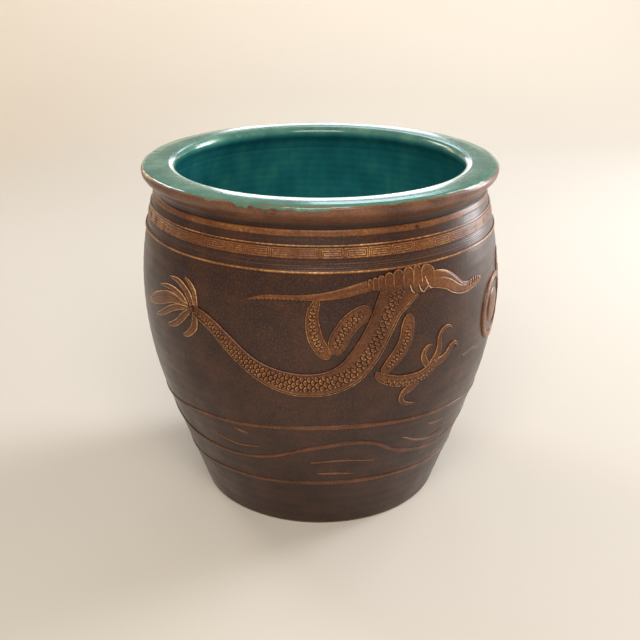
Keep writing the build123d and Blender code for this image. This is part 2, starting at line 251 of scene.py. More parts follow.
def make_piece(name, shells, node, material, weld=False):
    """One piece of the jar, made of closed shells, in place of one solid"""
    points = np.concatenate([grid.reshape(-1, 3) for grid, _, _ in shells])
    tones = np.concatenate([tone.ravel() for _, tone, _ in shells])
    faces, first = [], 0
    for grid, _, ring in shells:
        faces += shell_faces(grid, ring, first)
        first += grid.shape[0] * grid.shape[1]
    mesh = bpy.data.meshes.new(name)
    mesh.from_pydata(points.tolist(), [], faces)
    mesh.attributes.new("tone", "FLOAT", "POINT").data.foreach_set("value", tones.astype(np.float32))
    mesh.materials.append(material)
    if weld:
        weld_poles(mesh)
    mesh.shade_smooth()
    mesh.set_sharp_from_angle(angle=CREASE)
    piece = bpy.data.objects.new(name, mesh)
    scene.collection.objects.link(piece)
    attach(piece, "root")
    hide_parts(node)
    print(name, len(mesh.polygons), "faces")
    return piece


# %% A smooth line through chosen points
def smooth(points, count):
    """Smooth line through points, as evenly spaced samples; the first two numbers are places"""
    points = np.array(points, float)
    gaps = np.linalg.norm(np.diff(points[:, :2], axis=0), axis=1)
    stops = np.concatenate([[0], np.cumsum(gaps)])
    slopes = np.gradient(points, stops, axis=0)
    where = np.linspace(0, stops[-1], count)
    span = np.clip(np.searchsorted(stops, where, side="right") - 1, 0, len(gaps) - 1)
    part = ((where - stops[span]) / gaps[span])[:, None]
    gap = gaps[span][:, None]
    start = points[span] * (1 + 2 * part) * (1 - part) ** 2 + slopes[span] * gap * part * (1 - part) ** 2
    end = points[span + 1] * part**2 * (3 - 2 * part) - slopes[span + 1] * gap * part**2 * (1 - part)
    return start + end


# %% [markdown]
# ## Materials
# Colours are given as sRGB hex, the way a colour picker shows them, but shaders work in linear
# light, so one function turns hex to linear. One more function adds a node with its settings and
# links, and gives the output that later nodes read, which keeps each material as short as a recipe.


# %% Colour and node helpers
MIX_A, MIX_B, MIX_OUT = 6, 7, 2  # colour sockets of the Mix node


def linear(code):
    """Linear RGBA from an sRGB hex colour"""
    values = [int(code[k : k + 2], 16) / 255 for k in (1, 3, 5)]
    return [v / 12.92 if v <= 0.04045 else ((v + 0.055) / 1.055) ** 2.4 for v in values] + [1.0]


def add_node(tree, kind, output, settings=None, inputs=None, stops=()):
    """Add a node, as a (node, output) pair; an input is a value, a hex colour or such a pair"""
    node = tree.nodes.new("ShaderNode" + kind)
    for name, value in (settings or {}).items():
        setattr(node, name, value)
    for name, value in (inputs or {}).items():
        if isinstance(value, tuple) and isinstance(value[0], bpy.types.Node):
            tree.links.new(value[0].outputs[value[1]], node.inputs[name])
        else:
            node.inputs[name].default_value = linear(value) if isinstance(value, str) else value
    for number, (place, code) in enumerate(stops):
        bands = node.color_ramp.elements
        band = bands[number] if number < len(bands) else bands.new(place)
        band.position = place
        band.color = linear(code)
    return node, output


def blank_material(name):
    """A material without nodes, and its tree"""
    material = bpy.data.materials.new(name)
    material.use_nodes = True
    material.node_tree.nodes.clear()
    return material, material.node_tree


# %% Steps that several materials take
def tinted(tree, colour, tints):
    """Colour with tints over it, each as (value, where it starts, where it is full, most, tint)"""
    for value, start, full, most, tint in tints:
        share = add_node(tree, "MapRange", "Result", inputs={
            "Value": value, "From Min": start, "From Max": full, "To Max": most})
        colour = add_node(tree, "Mix", MIX_OUT, {"data_type": "RGBA"}, {
            0: share, MIX_A: colour, MIX_B: tint})
    return colour


def shifted(tree, value, noise, amount):
    """Value moved up and down by a noise"""
    shift = add_node(tree, "Math", "Value", {"operation": "MULTIPLY_ADD"}, {
        0: noise, 1: amount, 2: -amount / 2})
    return add_node(tree, "Math", "Value", {"operation": "ADD"}, {0: value, 1: shift})


def surfaced(material, inputs):
    """The material with its shader and output"""
    shader = add_node(material.node_tree, "BsdfPrincipled", "BSDF", inputs=inputs)
    add_node(material.node_tree, "OutputMaterial", None, inputs={"Surface": shader})
    print(material.name, "made")
    return material


# %% [markdown]
# ## Brown glaze on the outside
# An ash and iron glaze on stoneware: dark brown, thin, and full of specks where iron burns
# through. It is glossy but not like a mirror, because fine grog lifts it into tiny bumps, so the
# window shows only as soft upright sheens. Specks are about 2 mm, cloudy patches about 40 mm.

# %% Iron glaze
SPECK = 2.3 * MM
CLOUD = 42 * MM
GRAIN = 3.2 * MM
TONE = {"attribute_name": "tone"}  # the tone that each point carries


def iron_glaze(name, dark, mid, warm, speck, gloss):
    """Thin brown iron glaze with cloudy patches and burnt specks, thick in grooves, worn on edges"""
    material, tree = blank_material(name)
    place = add_node(tree, "TexCoord", "Object")
    clouds = add_node(tree, "TexNoise", "Fac", inputs={"Vector": place, "Scale": 1 / CLOUD, "Detail": 3.0})
    specks = add_node(tree, "TexNoise", "Fac", inputs={
        "Vector": place, "Scale": 1 / SPECK, "Detail": 3.0, "Roughness": 0.7})
    grain = add_node(tree, "TexNoise", "Fac", inputs={"Vector": place, "Scale": 1 / GRAIN, "Detail": 3.0})
    tone = add_node(tree, "Attribute", "Fac", TONE)
    body = add_node(tree, "ValToRGB", "Color", inputs={"Fac": clouds}, stops=[
        (0.34, dark), (0.5, mid), (0.66, warm)])
    # Low tones darken the glaze: thick glaze in grooves and pits, and painted shade towards the foot and
    # under the rim's roll. High tones lighten it: worn edges, and painted light on the rim's nose.
    coat = tinted(tree, body, [
        (specks, 0.5, 0.68, 0.5, speck), (specks, 0.49, 0.34, 0.5, "#241816"),
        (tone, PLAIN, 1.0, 0.8, "#8a6148"), (tone, PLAIN, 0.0, 0.85, "#1d1312")])
    shine = add_node(tree, "MapRange", "Result", inputs={
        "Value": clouds, "From Min": 0.3, "From Max": 0.7, "To Min": gloss + 0.07, "To Max": gloss - 0.05})
    bumps = add_node(tree, "Bump", "Normal", inputs={"Height": grain, "Strength": 0.5, "Distance": 0.5 * MM})
    return surfaced(material, {
        "Base Color": coat, "Roughness": shine, "Specular IOR Level": 0.25, "Normal": bumps,
        "Coat Weight": 0.25, "Coat Roughness": 0.14, "Coat Normal": bumps})


brown_glaze = iron_glaze("iron_brown_glaze", "#321f19", "#3a2319", "#46291d", "#684634", 0.42)
rust_glaze = iron_glaze("rust_glaze_on_rim", "#5d3d2f", "#6e4936", "#80563f", "#9c6e50", 0.4)

# %% [markdown]
# ## Teal glaze
# The inside and the rim wear a copper and lead glaze, thick and glassy. Where it is thick it is
# deep teal, and where it thins over an edge the pale clay shows through. A second, clear
# reflection on top (a coat) gives the wet gloss. Tone 0 is pooled glaze, a half is thin glaze and
# 1 is bare edge.

# %% Copper glaze
CRAZE = 9 * MM
POOL = 55 * MM
STREAK = 16 * MM
RIPPLE = 14 * MM
RUN_DOWN = (1, 1, 0.12)  # streaks are drawn out downwards
DEEP_TEAL = [(0.3, "#1c6a70"), (0.52, "#23777d"), (0.75, "#35877f")]
THIN_TEAL = [(0.35, "#3f7669"), (0.55, "#508676"), (0.72, "#699c87")]


def copper_glaze(name, gloss):
    """Glassy teal glaze: deep where it pools, paler where it is thin, bare clay on edges"""
    material, tree = blank_material(name)
    place = add_node(tree, "TexCoord", "Object")
    runs = add_node(tree, "Mapping", "Vector", inputs={"Vector": place, "Scale": RUN_DOWN})
    pools = add_node(tree, "TexNoise", "Fac", inputs={"Vector": place, "Scale": 1 / POOL, "Detail": 3.0})
    streaks = add_node(tree, "TexNoise", "Fac", inputs={"Vector": runs, "Scale": 1 / STREAK, "Detail": 2.0})
    flecks = add_node(tree, "TexNoise", "Fac", inputs={
        "Vector": place, "Scale": 1 / CRAZE, "Detail": 4.0, "Roughness": 0.6})
    ripple = add_node(tree, "TexNoise", "Fac", inputs={"Vector": place, "Scale": 1 / RIPPLE, "Detail": 2.0})
    tone = add_node(tree, "Attribute", "Fac", TONE)
    streaked = shifted(tree, pools, streaks, 0.5)
    deep = add_node(tree, "ValToRGB", "Color", inputs={"Fac": streaked}, stops=DEEP_TEAL)
    thin = add_node(tree, "ValToRGB", "Color", inputs={"Fac": pools}, stops=THIN_TEAL)
    thin = tinted(tree, thin, [(flecks, 0.5, 0.75, 0.3, "#8fb39c")])
    coat = tinted(tree, deep, [(tone, 0.05, PLAIN, 1.0, thin), (tone, 0.6, 0.95, 1.0, "#8a6546")])
    bumps = add_node(tree, "Bump", "Normal", inputs={
        "Height": ripple, "Strength": 0.25, "Distance": 0.6 * MM})
    return surfaced(material, {
        "Base Color": coat, "Roughness": gloss, "IOR": 1.5, "Normal": bumps,
        "Coat Weight": 0.3, "Coat Roughness": 0.1})


lining_teal = copper_glaze("copper_glaze_inside", 0.3)
rim_teal = copper_glaze("copper_glaze_on_rim", 0.17)

# %% [markdown]
# ## Pale clay of the relief
# The strips are a paler clay under a thin clear glaze. Brown glaze was wiped off them, so it
# stays in every groove and the ridges are bare. The colour ramp reads the tone of each point:
# dark in the grooves, ochre on the flats, pale on the ridges. Some ridges are drawn paler still,
# as painted highlights: the tops of the cords, a ring in each scale, and the brow lines and hooks
# of the crest and head.

# %% Wiped clay
CLAY_MOTTLE = 3.4 * MM
CLAY_TONES = [
    (0.0, "#1b0f0a"), (0.22, "#3f2316"), (0.48, "#653b20"),
    (0.7, "#86542c"), (0.86, "#b78953"), (1.0, "#e2c69c"),
]


def wiped_clay(name):
    """Pale clay with dark glaze left in its grooves"""
    material, tree = blank_material(name)
    place = add_node(tree, "TexCoord", "Object")
    mottle = add_node(tree, "TexNoise", "Fac", inputs={
        "Vector": place, "Scale": 1 / CLAY_MOTTLE, "Detail": 4.0, "Roughness": 0.65})
    drift = add_node(tree, "TexNoise", "Fac", inputs={"Vector": place, "Scale": 1 / CLOUD, "Detail": 2.0})
    grain = add_node(tree, "TexNoise", "Fac", inputs={"Vector": place, "Scale": 1 / GRAIN, "Detail": 3.0})
    tone = add_node(tree, "Attribute", "Fac", TONE)
    worked = shifted(tree, shifted(tree, tone, mottle, 0.8), drift, 0.4)
    body = add_node(tree, "ValToRGB", "Color", inputs={"Fac": worked}, stops=CLAY_TONES)
    bumps = add_node(tree, "Bump", "Normal", inputs={
        "Height": grain, "Strength": 0.4, "Distance": 0.35 * MM})
    return surfaced(material, {
        "Base Color": body, "Roughness": 0.4, "Specular IOR Level": 0.28, "Normal": bumps,
        "Coat Weight": 0.15, "Coat Roughness": 0.2})


relief_clay = wiped_clay("wiped_relief_clay")

# %% [markdown]
# ## Bare stoneware
# A potter wipes the glaze off the base so that the jar does not stick to the kiln shelf. Bare
# stoneware is dry and matt, buff to brown, with coarse grog in it.

# %% Bare base
GROG = 3 * MM


def bare_stoneware(name):
    """Dry buff clay with coarse grog"""
    material, tree = blank_material(name)
    place = add_node(tree, "TexCoord", "Object")
    grog = add_node(tree, "TexNoise", "Fac", inputs={
        "Vector": place, "Scale": 1 / GROG, "Detail": 5.0, "Roughness": 0.7})
    colour = add_node(tree, "ValToRGB", "Color", inputs={"Fac": grog}, stops=[
        (0.3, "#6b5340"), (0.5, "#8a6d54"), (0.7, "#a58668")])
    bumps = add_node(tree, "Bump", "Normal", inputs={"Height": grog, "Strength": 0.6, "Distance": 0.5 * MM})
    return surfaced(material, {"Base Color": colour, "Roughness": 0.85, "Normal": bumps})


bare_clay = bare_stoneware("bare_stoneware")

# %% [markdown]
# ## The wall rings
# Three rings make the wall. Each is a closed ring of clay: a finely divided outer face that
# carries the throwing marks, and a plain back that the lining hides. A grid of about 2.5 mm is
# finer than any finger ring, and the shoulder is finer still for the combed lines.

# %% Rows and turns of the rings
TURNS = 720 // SPARSE
round_jar = np.arange(TURNS)[:, None] * 2 * pi / TURNS
INNER_ROWS = 16
LINING_CLEARANCE = 0.5 * MM
PAINTED_FOOT_SHADE = 0.12  # painted shade: the glaze is drawn darker towards the foot


def wall_ring(name, node, low, high, row, marks=None):
    """Closed ring of the wall between two heights"""
    z = np.linspace(low, high, max(2, round((high - low) / row)))[None, :]
    lift, tone = marks(round_jar, z) if marks else (0, PLAIN)
    # painted shade: the wall is drawn darker towards the foot
    tone = tone - PAINTED_FOOT_SHADE * step_up(BELLY_HEIGHT - z, 0, BELLY_HEIGHT)
    inner_z = np.linspace(high, low, INNER_ROWS)[None, :]
    inner = around(round_jar, wall_radius(inner_z) - WALL + LINING_CLEARANCE, inner_z)
    ring = shell(on_skin(round_jar, z, lift), inner, tone, PLAIN)
    make_piece(name, [ring], node, brown_glaze)


# %% [markdown]
# Above the cordon a comb was held against the turning jar. It left four or five fine lines that
# fade in and out where the potter's hand lightened.

# %% Combed lines on the shoulder
CORDON_HEIGHT = sum(heights("shoulder_cordon")) / 2
COMB_LINES = [(457.6, 0.9), (460.0, 0.7), (463.2, 1.0), (466.4, 0.8), (469.6, 0.6)]  # mm up, strength
COMB_DEPTH = 0.45 * MM
COMB_WIDTH = 0.8 * MM


def combed(turn, z):
    """Lift and tone of the combed lines"""
    lift, tone = 0, PLAIN
    for number, (line, strength) in enumerate(COMB_LINES):
        wander = 0.5 * MM * np.sin(turn + number) + 0.25 * MM * np.sin(3 * turn + 2 * number)
        fade = 0.55 + 0.45 * np.sin(2 * turn + 1.7 * number) * np.sin(5 * turn + number)
        off = z - line * MM - wander
        raised = ridge(off, COMB_WIDTH) * strength * fade
        cut = ridge(off - 1.5 * COMB_WIDTH, COMB_WIDTH) * strength * fade
        lift = lift + COMB_DEPTH * (raised - cut)
        tone = tone + 0.32 * raised - 0.25 * cut
    return lift, np.clip(tone, 0, 1)


# %% Scratches on the belly
SCRATCHES = [  # degrees round the jar and share of the height at both ends, strength
    ((48.8, 0.531), (55, 0.535), 0.5), ((55, 0.535), (59, 0.522), 0.3),
    ((-62, 0.492), (-53, 0.483), 0.25), ((-58, 0.475), (-50, 0.472), 0.2),
    ((131, 0.6), (139, 0.592), 0.3), ((-150, 0.41), (-143, 0.42), 0.25),
]
PITS = [(48.2, 0.529), (-12, 0.45), (160, 0.66)]
SCRATCH_WIDTH = 1.5 * MM
PIT_WIDTH = 2.2 * MM
PIT_DEPTH = 0.8 * MM
FAR = 9.0  # beyond the reach of any ridge


def on_belly(place):
    """Metres round the belly and up, from degrees round the jar and share of its height"""
    return radians(place[0]) * BELLY_RADIUS, place[1] * HEIGHT


def strokes_of(route):
    """Straight strokes from each point of a route to the next"""
    return list(zip(route, route[1:]))


def stroke_distance(u, v, strokes):
    """Distance from points to the nearest of some straight strokes"""
    nearest = np.full(np.broadcast(u, v).shape, FAR)
    for (u0, v0), (u1, v1) in strokes:
        length = (u1 - u0) ** 2 + (v1 - v0) ** 2
        along = np.clip(((u - u0) * (u1 - u0) + (v - v0) * (v1 - v0)) / length, 0, 1)
        nearest = np.minimum(nearest, np.hypot(u - u0 - along * (u1 - u0), v - v0 - along * (v1 - v0)))
    return nearest


def scarred(turn, z):
    """Lift and tone of scratches and pits"""
    x = turn_from(turn, 0) * BELLY_RADIUS
    lift, tone = 0, PLAIN
    for start, end, strength in SCRATCHES:
        off = stroke_distance(x, z, [(on_belly(start), on_belly(end))])
        tone = tone + strength * ridge(off, SCRATCH_WIDTH)
    for pit_x, pit_z in map(on_belly, PITS):
        pit = ridge(np.hypot(x - pit_x, z - pit_z), PIT_WIDTH)
        lift, tone = lift - PIT_DEPTH * pit, tone - 0.6 * pit
    return lift, np.clip(tone, 0, 1)


wall_ring("thrown_lower_wall", "lower_wall", SLAB_TOP, SEAM_HEIGHT, 2.6 * MM)
wall_ring("thrown_belly_wall", "belly_wall", SEAM_HEIGHT, CORDON_HEIGHT, 2.4 * MM, scarred)
wall_ring("combed_shoulder_wall", "shoulder_wall", CORDON_HEIGHT, NECK_HEIGHT, 0.7 * MM, combed)

# %% [markdown]
# ## The floor slab
# The slab's edge is the jar's foot: glazed like the wall down to a worn arris, with the glaze
# wiped off below. One closed profile, welded at the middle, with a second material underneath.

# %% Foot and base
FOOT_BEVEL = 2.5 * MM
BASE_STOPS = np.array([[0, 90 * MM, BASE_RADIUS - 9 * MM, BASE_RADIUS - FOOT_BEVEL]])
TOP_STOPS = np.array([[BASE_RADIUS - 20 * MM, 0]])
SIDE_ROWS = 10

foot_side = on_skin(round_jar, np.linspace(FOOT_BEVEL, SLAB_TOP, SIDE_ROWS)[None, :])
foot = np.concatenate([around(round_jar, BASE_STOPS, 0.0), foot_side], axis=1)
# painted shade: the foot is drawn as dark as the lowest wall
foot_tone = np.full((1, foot.shape[1]), PLAIN - PAINTED_FOOT_SHADE)
foot_tone[0, BASE_STOPS.size] = 0.75
slab_shell = shell(foot, around(round_jar, TOP_STOPS, SLAB_TOP), foot_tone, PLAIN - PAINTED_FOOT_SHADE)
slab = make_piece("glazed_floor_slab", [slab_shell], "floor_slab", brown_glaze, weld=True)
slab.data.materials.append(bare_clay)
for face in slab.data.polygons:
    if face.center.z < 0.5 * FOOT_BEVEL or face.center.z > SLAB_TOP - 0.1 * MM:
        face.material_index = 1

# %% [markdown]
# ## The lining
# The teal lining is a coat a millimetre thick. The potter's rib smoothed the inside less than the
# outside, so the finger rings are deeper here. The profile runs from the middle of the floor over
# a coved corner up to the lip, and comes back a millimetre behind itself.

# %% Teal lining
CORNER = 44 * MM
CORNER_ROWS = 10
LINING_ROWS = 112
FLOOR_ROWS = 12
INSIDE_PITCH = 13 * MM
INSIDE_DEPTH = 0.5 * MM


def lining_profile():
    """Radius and height of the lining's face, from the middle of the floor to its top"""
    floor, top = SLAB_TOP + GLAZE, heights("lining_glaze")[1]
    cove = np.linspace(0, pi / 2, CORNER_ROWS)
    z = np.append(floor + CORNER * (1 - np.cos(cove)), np.linspace(floor + CORNER, top, LINING_ROWS)[1:])
    radius = wall_radius(z) - WALL - GLAZE
    radius[:CORNER_ROWS] -= CORNER * (1 - np.sin(cove))
    flat = np.linspace(0, radius[0], FLOOR_ROWS)[:-1]
    return np.append(flat, radius)[None, :], np.append(0 * flat + floor, z)[None, :]


face_r, face_z = lining_profile()
ribbed = round_jar[::2]
inside_rings = swell(2 * pi * face_z / INSIDE_PITCH + np.sin(ribbed) + 0.7 * np.sin(3 * ribbed))
on_side = step_up(face_z, SLAB_TOP + CORNER, SLAB_TOP + 3 * CORNER)
lining_face = around(ribbed, face_r + INSIDE_DEPTH * inside_rings * on_side, face_z)
lining_back = around(ribbed, face_r + 1.2 * GLAZE * (face_r > 0), face_z - 0.8 * GLAZE * (1 - on_side))
make_piece("teal_lining", [shell(lining_face, lining_back[:, ::-1], 0.0, 0.0)], "lining_glaze",
           lining_teal, weld=True)

# %% [markdown]
# ## The rim
# The rim was thrown last as a thick collar, rolled outwards and pressed down. Its top is not
# flat: the inner half slopes towards the mouth, which is why it catches the light in a broad pale
# band at the front. The section is a smooth line through a few chosen points, in millimetres from
# the jar's axis and down from its top.

# %% Section of the rim
COLLAR_LINE = [
    (260.5, 39.0), (263.2, 32.5), (267.6, 25.5), (274.6, 18.6), (278.2, 13.2), (279.0, 9.4), (278.6, 6.0),
    (276.6, 3.2), (272.6, 1.9), (266, 1.35), (258, 1.0), (250, 1.15), (242, 1.6), (235, 2.4), (230.4, 4.2),
    (227.8, 7.6), (227.0, 12), (228.4, 16.4), (231.6, 20.4), (236, 26), (242.2, 39.0),
]
COLLAR_SAMPLES = 96
collar = smooth([(radius * MM, HEIGHT - drop * MM) for radius, drop in COLLAR_LINE], COLLAR_SAMPLES)
print("collar section", len(collar), "points, rim", round(collar[:, 0].max() / MM, 2), "mm")

# %% Rolled collar
ROLL_DEPTH = 0.5 * MM
ROLL_START, ROLL_END = 265 * MM, 279 * MM  # radii
WALL_MIDDLE = NECK_RADIUS - WALL / 2


def rolled(radius):
    """Radius of the rolled rim, pulled in a little unevenly near its nose"""
    roll = 0.5 + 0.5 * np.sin(2 * round_jar + 1) * np.sin(5 * round_jar)
    return radius - ROLL_DEPTH * roll * step_up(radius, ROLL_START, ROLL_END)


collar_z = collar[:, 1][None, :]
collar_r = rolled(collar[:, 0][None, :])
at_neck = step_up(-collar_z, -(NECK_HEIGHT + 8 * MM), -NECK_HEIGHT) * (collar_r > WALL_MIDDLE)
collar_r = collar_r - at_neck * uneven(round_jar, NECK_HEIGHT)
# Painted light and shade: the rolled nose is drawn a little lighter, where the lamps catch it, and the
# underside of the roll darker, where it is in shade; the blotches on the nose are the glaze's own.
nose = ridge(collar_z - (HEIGHT - 13 * MM), 9 * MM) * (collar_r > NECK_RADIUS)
under = step_up(-collar_z, -(HEIGHT - 20 * MM), -(NECK_HEIGHT + 4 * MM))
blotch = 0.12 * np.sin(7 * round_jar + 1) * np.sin(13 * round_jar + 300 * collar_z)
blotch = blotch + 0.08 * np.sin(29 * round_jar)
collar_tone = np.clip(PLAIN + (0.1 + blotch) * nose - 0.5 * under, 0, 1)
make_piece("rolled_rim_collar", [(around(round_jar, collar_r, collar_z), collar_tone, True)], "rim_collar",
           rust_glaze)

# %% [markdown]
# ## Teal glaze on the rim
# The coat is poured over the rim and stops unevenly on its nose, where it ran down in a few short
# drips. It is one closed shell: its face is the collar's section moved out by the coat's thickness,
# which fades to nothing at the ragged edge. The clay burns through on the outer arris.

# %% Ragged edge and drips
DRIPS = [  # degrees round the jar, mm down, degrees wide
    (-33, 3.2, 1.4), (-23, 3.6, 1.2), (-21, 5.4, 0.9), (-18, 3.0, 1.6), (-15, 4.6, 1.8), (-10.5, 3.4, 2.0),
    (-6, 4.4, 2.2), (-2, 4.8, 2.2), (1.5, 3.0, 1.4), (21, 0.8, 1.5), (48, 0.8, 2.0),
    (83, 2.6, 2.4), (104, 2.0, 3.0), (131, 4.4, 1.8), (150, 1.8, 3.0), (177, 3.2, 2.6), (-158, 2.4, 2.0),
    (-137, 4.2, 1.6), (-118, 1.8, 3.0), (-92, 1.4, 2.2),
]
EDGE_DROP = 3.6 * MM  # of the even part of the edge, below the jar's top
EDGE_RAGGED = 0.3 * MM


def edge_height(turn):
    """Height at which the teal glaze stops on the rim's nose"""
    drop = EDGE_DROP + EDGE_RAGGED * (np.sin(9 * turn + 1) + np.sin(23 * turn) + np.sin(57 * turn))
    for place, run, width in DRIPS:
        drop = drop + run * MM * ridge(turn_from(turn, radians(place)), radians(width))
    return HEIGHT - drop


# %% Teal coat of the rim
NOSE_START = 262 * MM
ARRIS_RADIUS = 276.8 * MM
LIP_RADIUS = 227.8 * MM
COAT_BACK = 0.9 * MM
EDGE_THINS = -2.0 * MM  # above its edge the coat thins out
EDGE_ENDS = 0.3 * MM  # below its edge the shell lies under the collar's face
EDGE_UNDER = 0.4 * MM

dressed = (HEIGHT - collar[:, 1] < 19 * MM) | (collar[:, 0] < WALL_MIDDLE)
dressed = dressed & (collar[:, 1] > NECK_HEIGHT - 0.1 * MM)
top_r, top_z = (column[None, :] for column in collar[dressed].T)
ahead_r, ahead_z = np.gradient(top_r, axis=1), np.gradient(top_z, axis=1)
ahead = np.hypot(ahead_r, ahead_z)
out_r, out_z = ahead_z / ahead, -ahead_r / ahead
below = np.where(top_r > NOSE_START, edge_height(round_jar) - top_z, -1.0)
thick = 0.6 + 0.4 * step_up(top_z, NECK_HEIGHT, NECK_HEIGHT + 8 * MM)
coat = 0.92 * GLAZE * thick * (1 - step_up(below, EDGE_THINS, EDGE_ENDS))
coat = np.where(below > EDGE_ENDS, -EDGE_UNDER, coat)
coat_z = np.minimum(top_z + coat * out_z, HEIGHT - 0.02 * MM)
coat_face = around(round_jar, rolled(top_r + coat * out_r), coat_z)
back_r, back_z = ((top - COAT_BACK * out)[:, ::6][:, ::-1] for top, out in ((top_r, out_r), (top_z, out_z)))
coat_back = around(round_jar, rolled(back_r), back_z)
worn = 0.7 + 0.3 * np.sin(17 * round_jar) * np.sin(41 * round_jar)
arris = ridge(top_r - ARRIS_RADIUS, 1.3 * MM) * (top_z > HEIGHT - 5 * MM) * worn
lip = ridge(top_r - LIP_RADIUS, 0.9 * MM) * swell(3 * round_jar + 1) * worn
pooled = step_up(np.where(top_r < 250 * MM, HEIGHT - top_z, 0), 4 * MM, 19 * MM)
coat_tone = np.clip(PLAIN * (1 - pooled) + 0.5 * arris + 0.12 * lip, 0, 1)
make_piece("teal_rim_coat", [shell(coat_face, coat_back, coat_tone, 0.0)], "rim_glaze",
           rim_teal)

# %% [markdown]
# ## Bands round the shoulder
# Flat bands of pale clay were pressed on while the jar turned slowly. Each is a closed ring with a
# soft edge. The narrow one is plain; the wide one carries a key pattern.


# %% A flat band
def clay_piece(node, shells):
    """One piece of the pale relief"""
    make_piece(f"clay_{node}", shells, node, relief_clay)


def band(node, low, high, rise, rows, finish, turns=round_jar):
    """Closed ring of clay between two heights; finish gives extra lift and the tone"""
    share = np.linspace(-1, 1, rows)[None, :]
    z = (low + high) / 2 + (high - low) / 2 * share
    extra, tone = finish(turns, z, share)
    face = on_skin(turns, z, rise * domed(share, 8) + extra * (1 - share**8))
    back = on_skin(turns, np.array([[high - 0.5 * MM, low + 0.5 * MM]]), -0.8 * MM)
    clay_piece(node, [shell(face, back, np.clip(tone - 0.35 * share**10, 0, 1), 0.3)])


DIMPLE = (radians(30.5), 504.3 * MM)  # turn and height of a fingertip mark


def plain_finish(turn, z, share):
    """Finger-smoothed clay, streaked along the band, with one fingertip mark"""
    streak = 0.5 + 0.5 * np.sin(5 * turn + 900 * z) * np.sin(11 * turn + 1)
    dimple = ridge(np.hypot((turn - DIMPLE[0]) * NECK_RADIUS, z - DIMPLE[1]), 3 * MM)
    return -0.15 * MM * streak - 0.8 * MM * dimple, 0.54 + 0.1 * streak - 0.45 * dimple


def cord_finish(turn, z, share):
    """Thin raised cord, with a painted highlight along its top"""
    return 0, 0.56 + 0.28 * ridge(share - 0.2, 0.4) + 0.08 * np.sin(9 * turn) * np.sin(4 * turn)


CORDON_HALF = 2.1 * MM
BAND_RISE = 1.2 * MM

neck_low, neck_high = heights("neck_band")
band("neck_band", neck_low, neck_high - 0.3 * MM, 1.1 * MM, 14, plain_finish)
band("fret_border", *heights("fret_border"), BAND_RISE, 10, cord_finish)
band("shoulder_cordon", CORDON_HEIGHT - CORDON_HALF, CORDON_HEIGHT + CORDON_HALF, 2.0 * MM, 12, cord_finish)

# %% [markdown]
# ## The key-pattern band
# A roller or a comb pressed the key pattern: thin raised lines that turn at right angles, in
# long squared spirals. The pattern is drawn once as strokes on squared paper, in line spacings.
# The distance from each point to the nearest stroke gives the ridge, and the same small drawing
# repeats round the jar. Here and there the pressed lines are nearly worn away.

# %% One long spiral
KEY_WIDTH = 12  # line spacings in one repeat
KEY_SPIRAL = [(0, 0), (0, 4), (11, 4), (11, 0), (1, 0), (1, 3), (10, 3), (10, 1), (2, 1), (2, 2), (9, 2)]
KEY_STROKES = strokes_of(KEY_SPIRAL) + [((12, 0), (12, 4))]  # with the neighbour's first upright
KEY_LINE = 0.27  # half width of a line, in spacings
KEY_MARGIN = 0.6  # from the band's edges to the outer lines, in spacings
KEY_DEPTH = 0.6 * MM

# %% Fret band
REPEATS = 50
CELLS = 48 // SPARSE
FRET_ROWS = 30
fret_low, fret_high = heights("fret_band")
fret_cells = np.arange(REPEATS * CELLS)[:, None]
fret_turns = fret_cells * 2 * pi / len(fret_cells)


def key_finish(turn, z, share):
    """Raised key pattern, worn in places"""
    u = fret_cells % CELLS / CELLS * KEY_WIDTH
    v = (z - fret_low) / (fret_high - fret_low) * (4 + 2 * KEY_MARGIN) - KEY_MARGIN
    line = 1 - step_up(stroke_distance(u, v, KEY_STROKES), KEY_LINE * 0.7, KEY_LINE * 1.9)
    worn = np.clip(0.8 + 0.4 * np.sin(3 * turn + 1) * np.sin(8 * turn) + 0.2 * np.sin(19 * turn), 0.3, 1)
    rail = ridge(np.abs(share) - 0.93, 0.06)
    raised = np.maximum((line - 0.5) * worn + 0.5, 0.7 * rail)
    return KEY_DEPTH * (raised - 1), 0.16 + 0.6 * raised


band("fret_band", fret_low, fret_high, BAND_RISE, FRET_ROWS, key_finish, fret_turns)

# %% [markdown]
# ## Strips of clay
# The dragons and waves are strips of soft clay, rolled out, pressed on and then worked with a
# pointed tool. A strip is a smooth line on the wall with a width that changes along it. Its
# places are angle round the jar, share of the jar's height and share of the strip's girth, the
# way a potter would mark them. Cross lines stand square to the line on the wall, and the section
# is a low pillow with steep sides that sink just under the wall.

# %% A strip's grid
GIRTH = 40 * MM  # width of a strip of the dragon where its share is 1
FINE = 0.75 * MM  # rows along a strip
FINER = 0.6 * MM  # rows along the crest and the head
FEWEST = 8  # rows of the shortest strip
HIDDEN = 60 * MM  # an end that runs under another strip isn't rounded
SIDES = {"front": 0, "back": 180}  # the jar's two like halves, and degrees round it


def inner_columns(across):
    """The two columns, a little in from both sides, where a strip's back lies"""
    return [across.size - 4, 3]


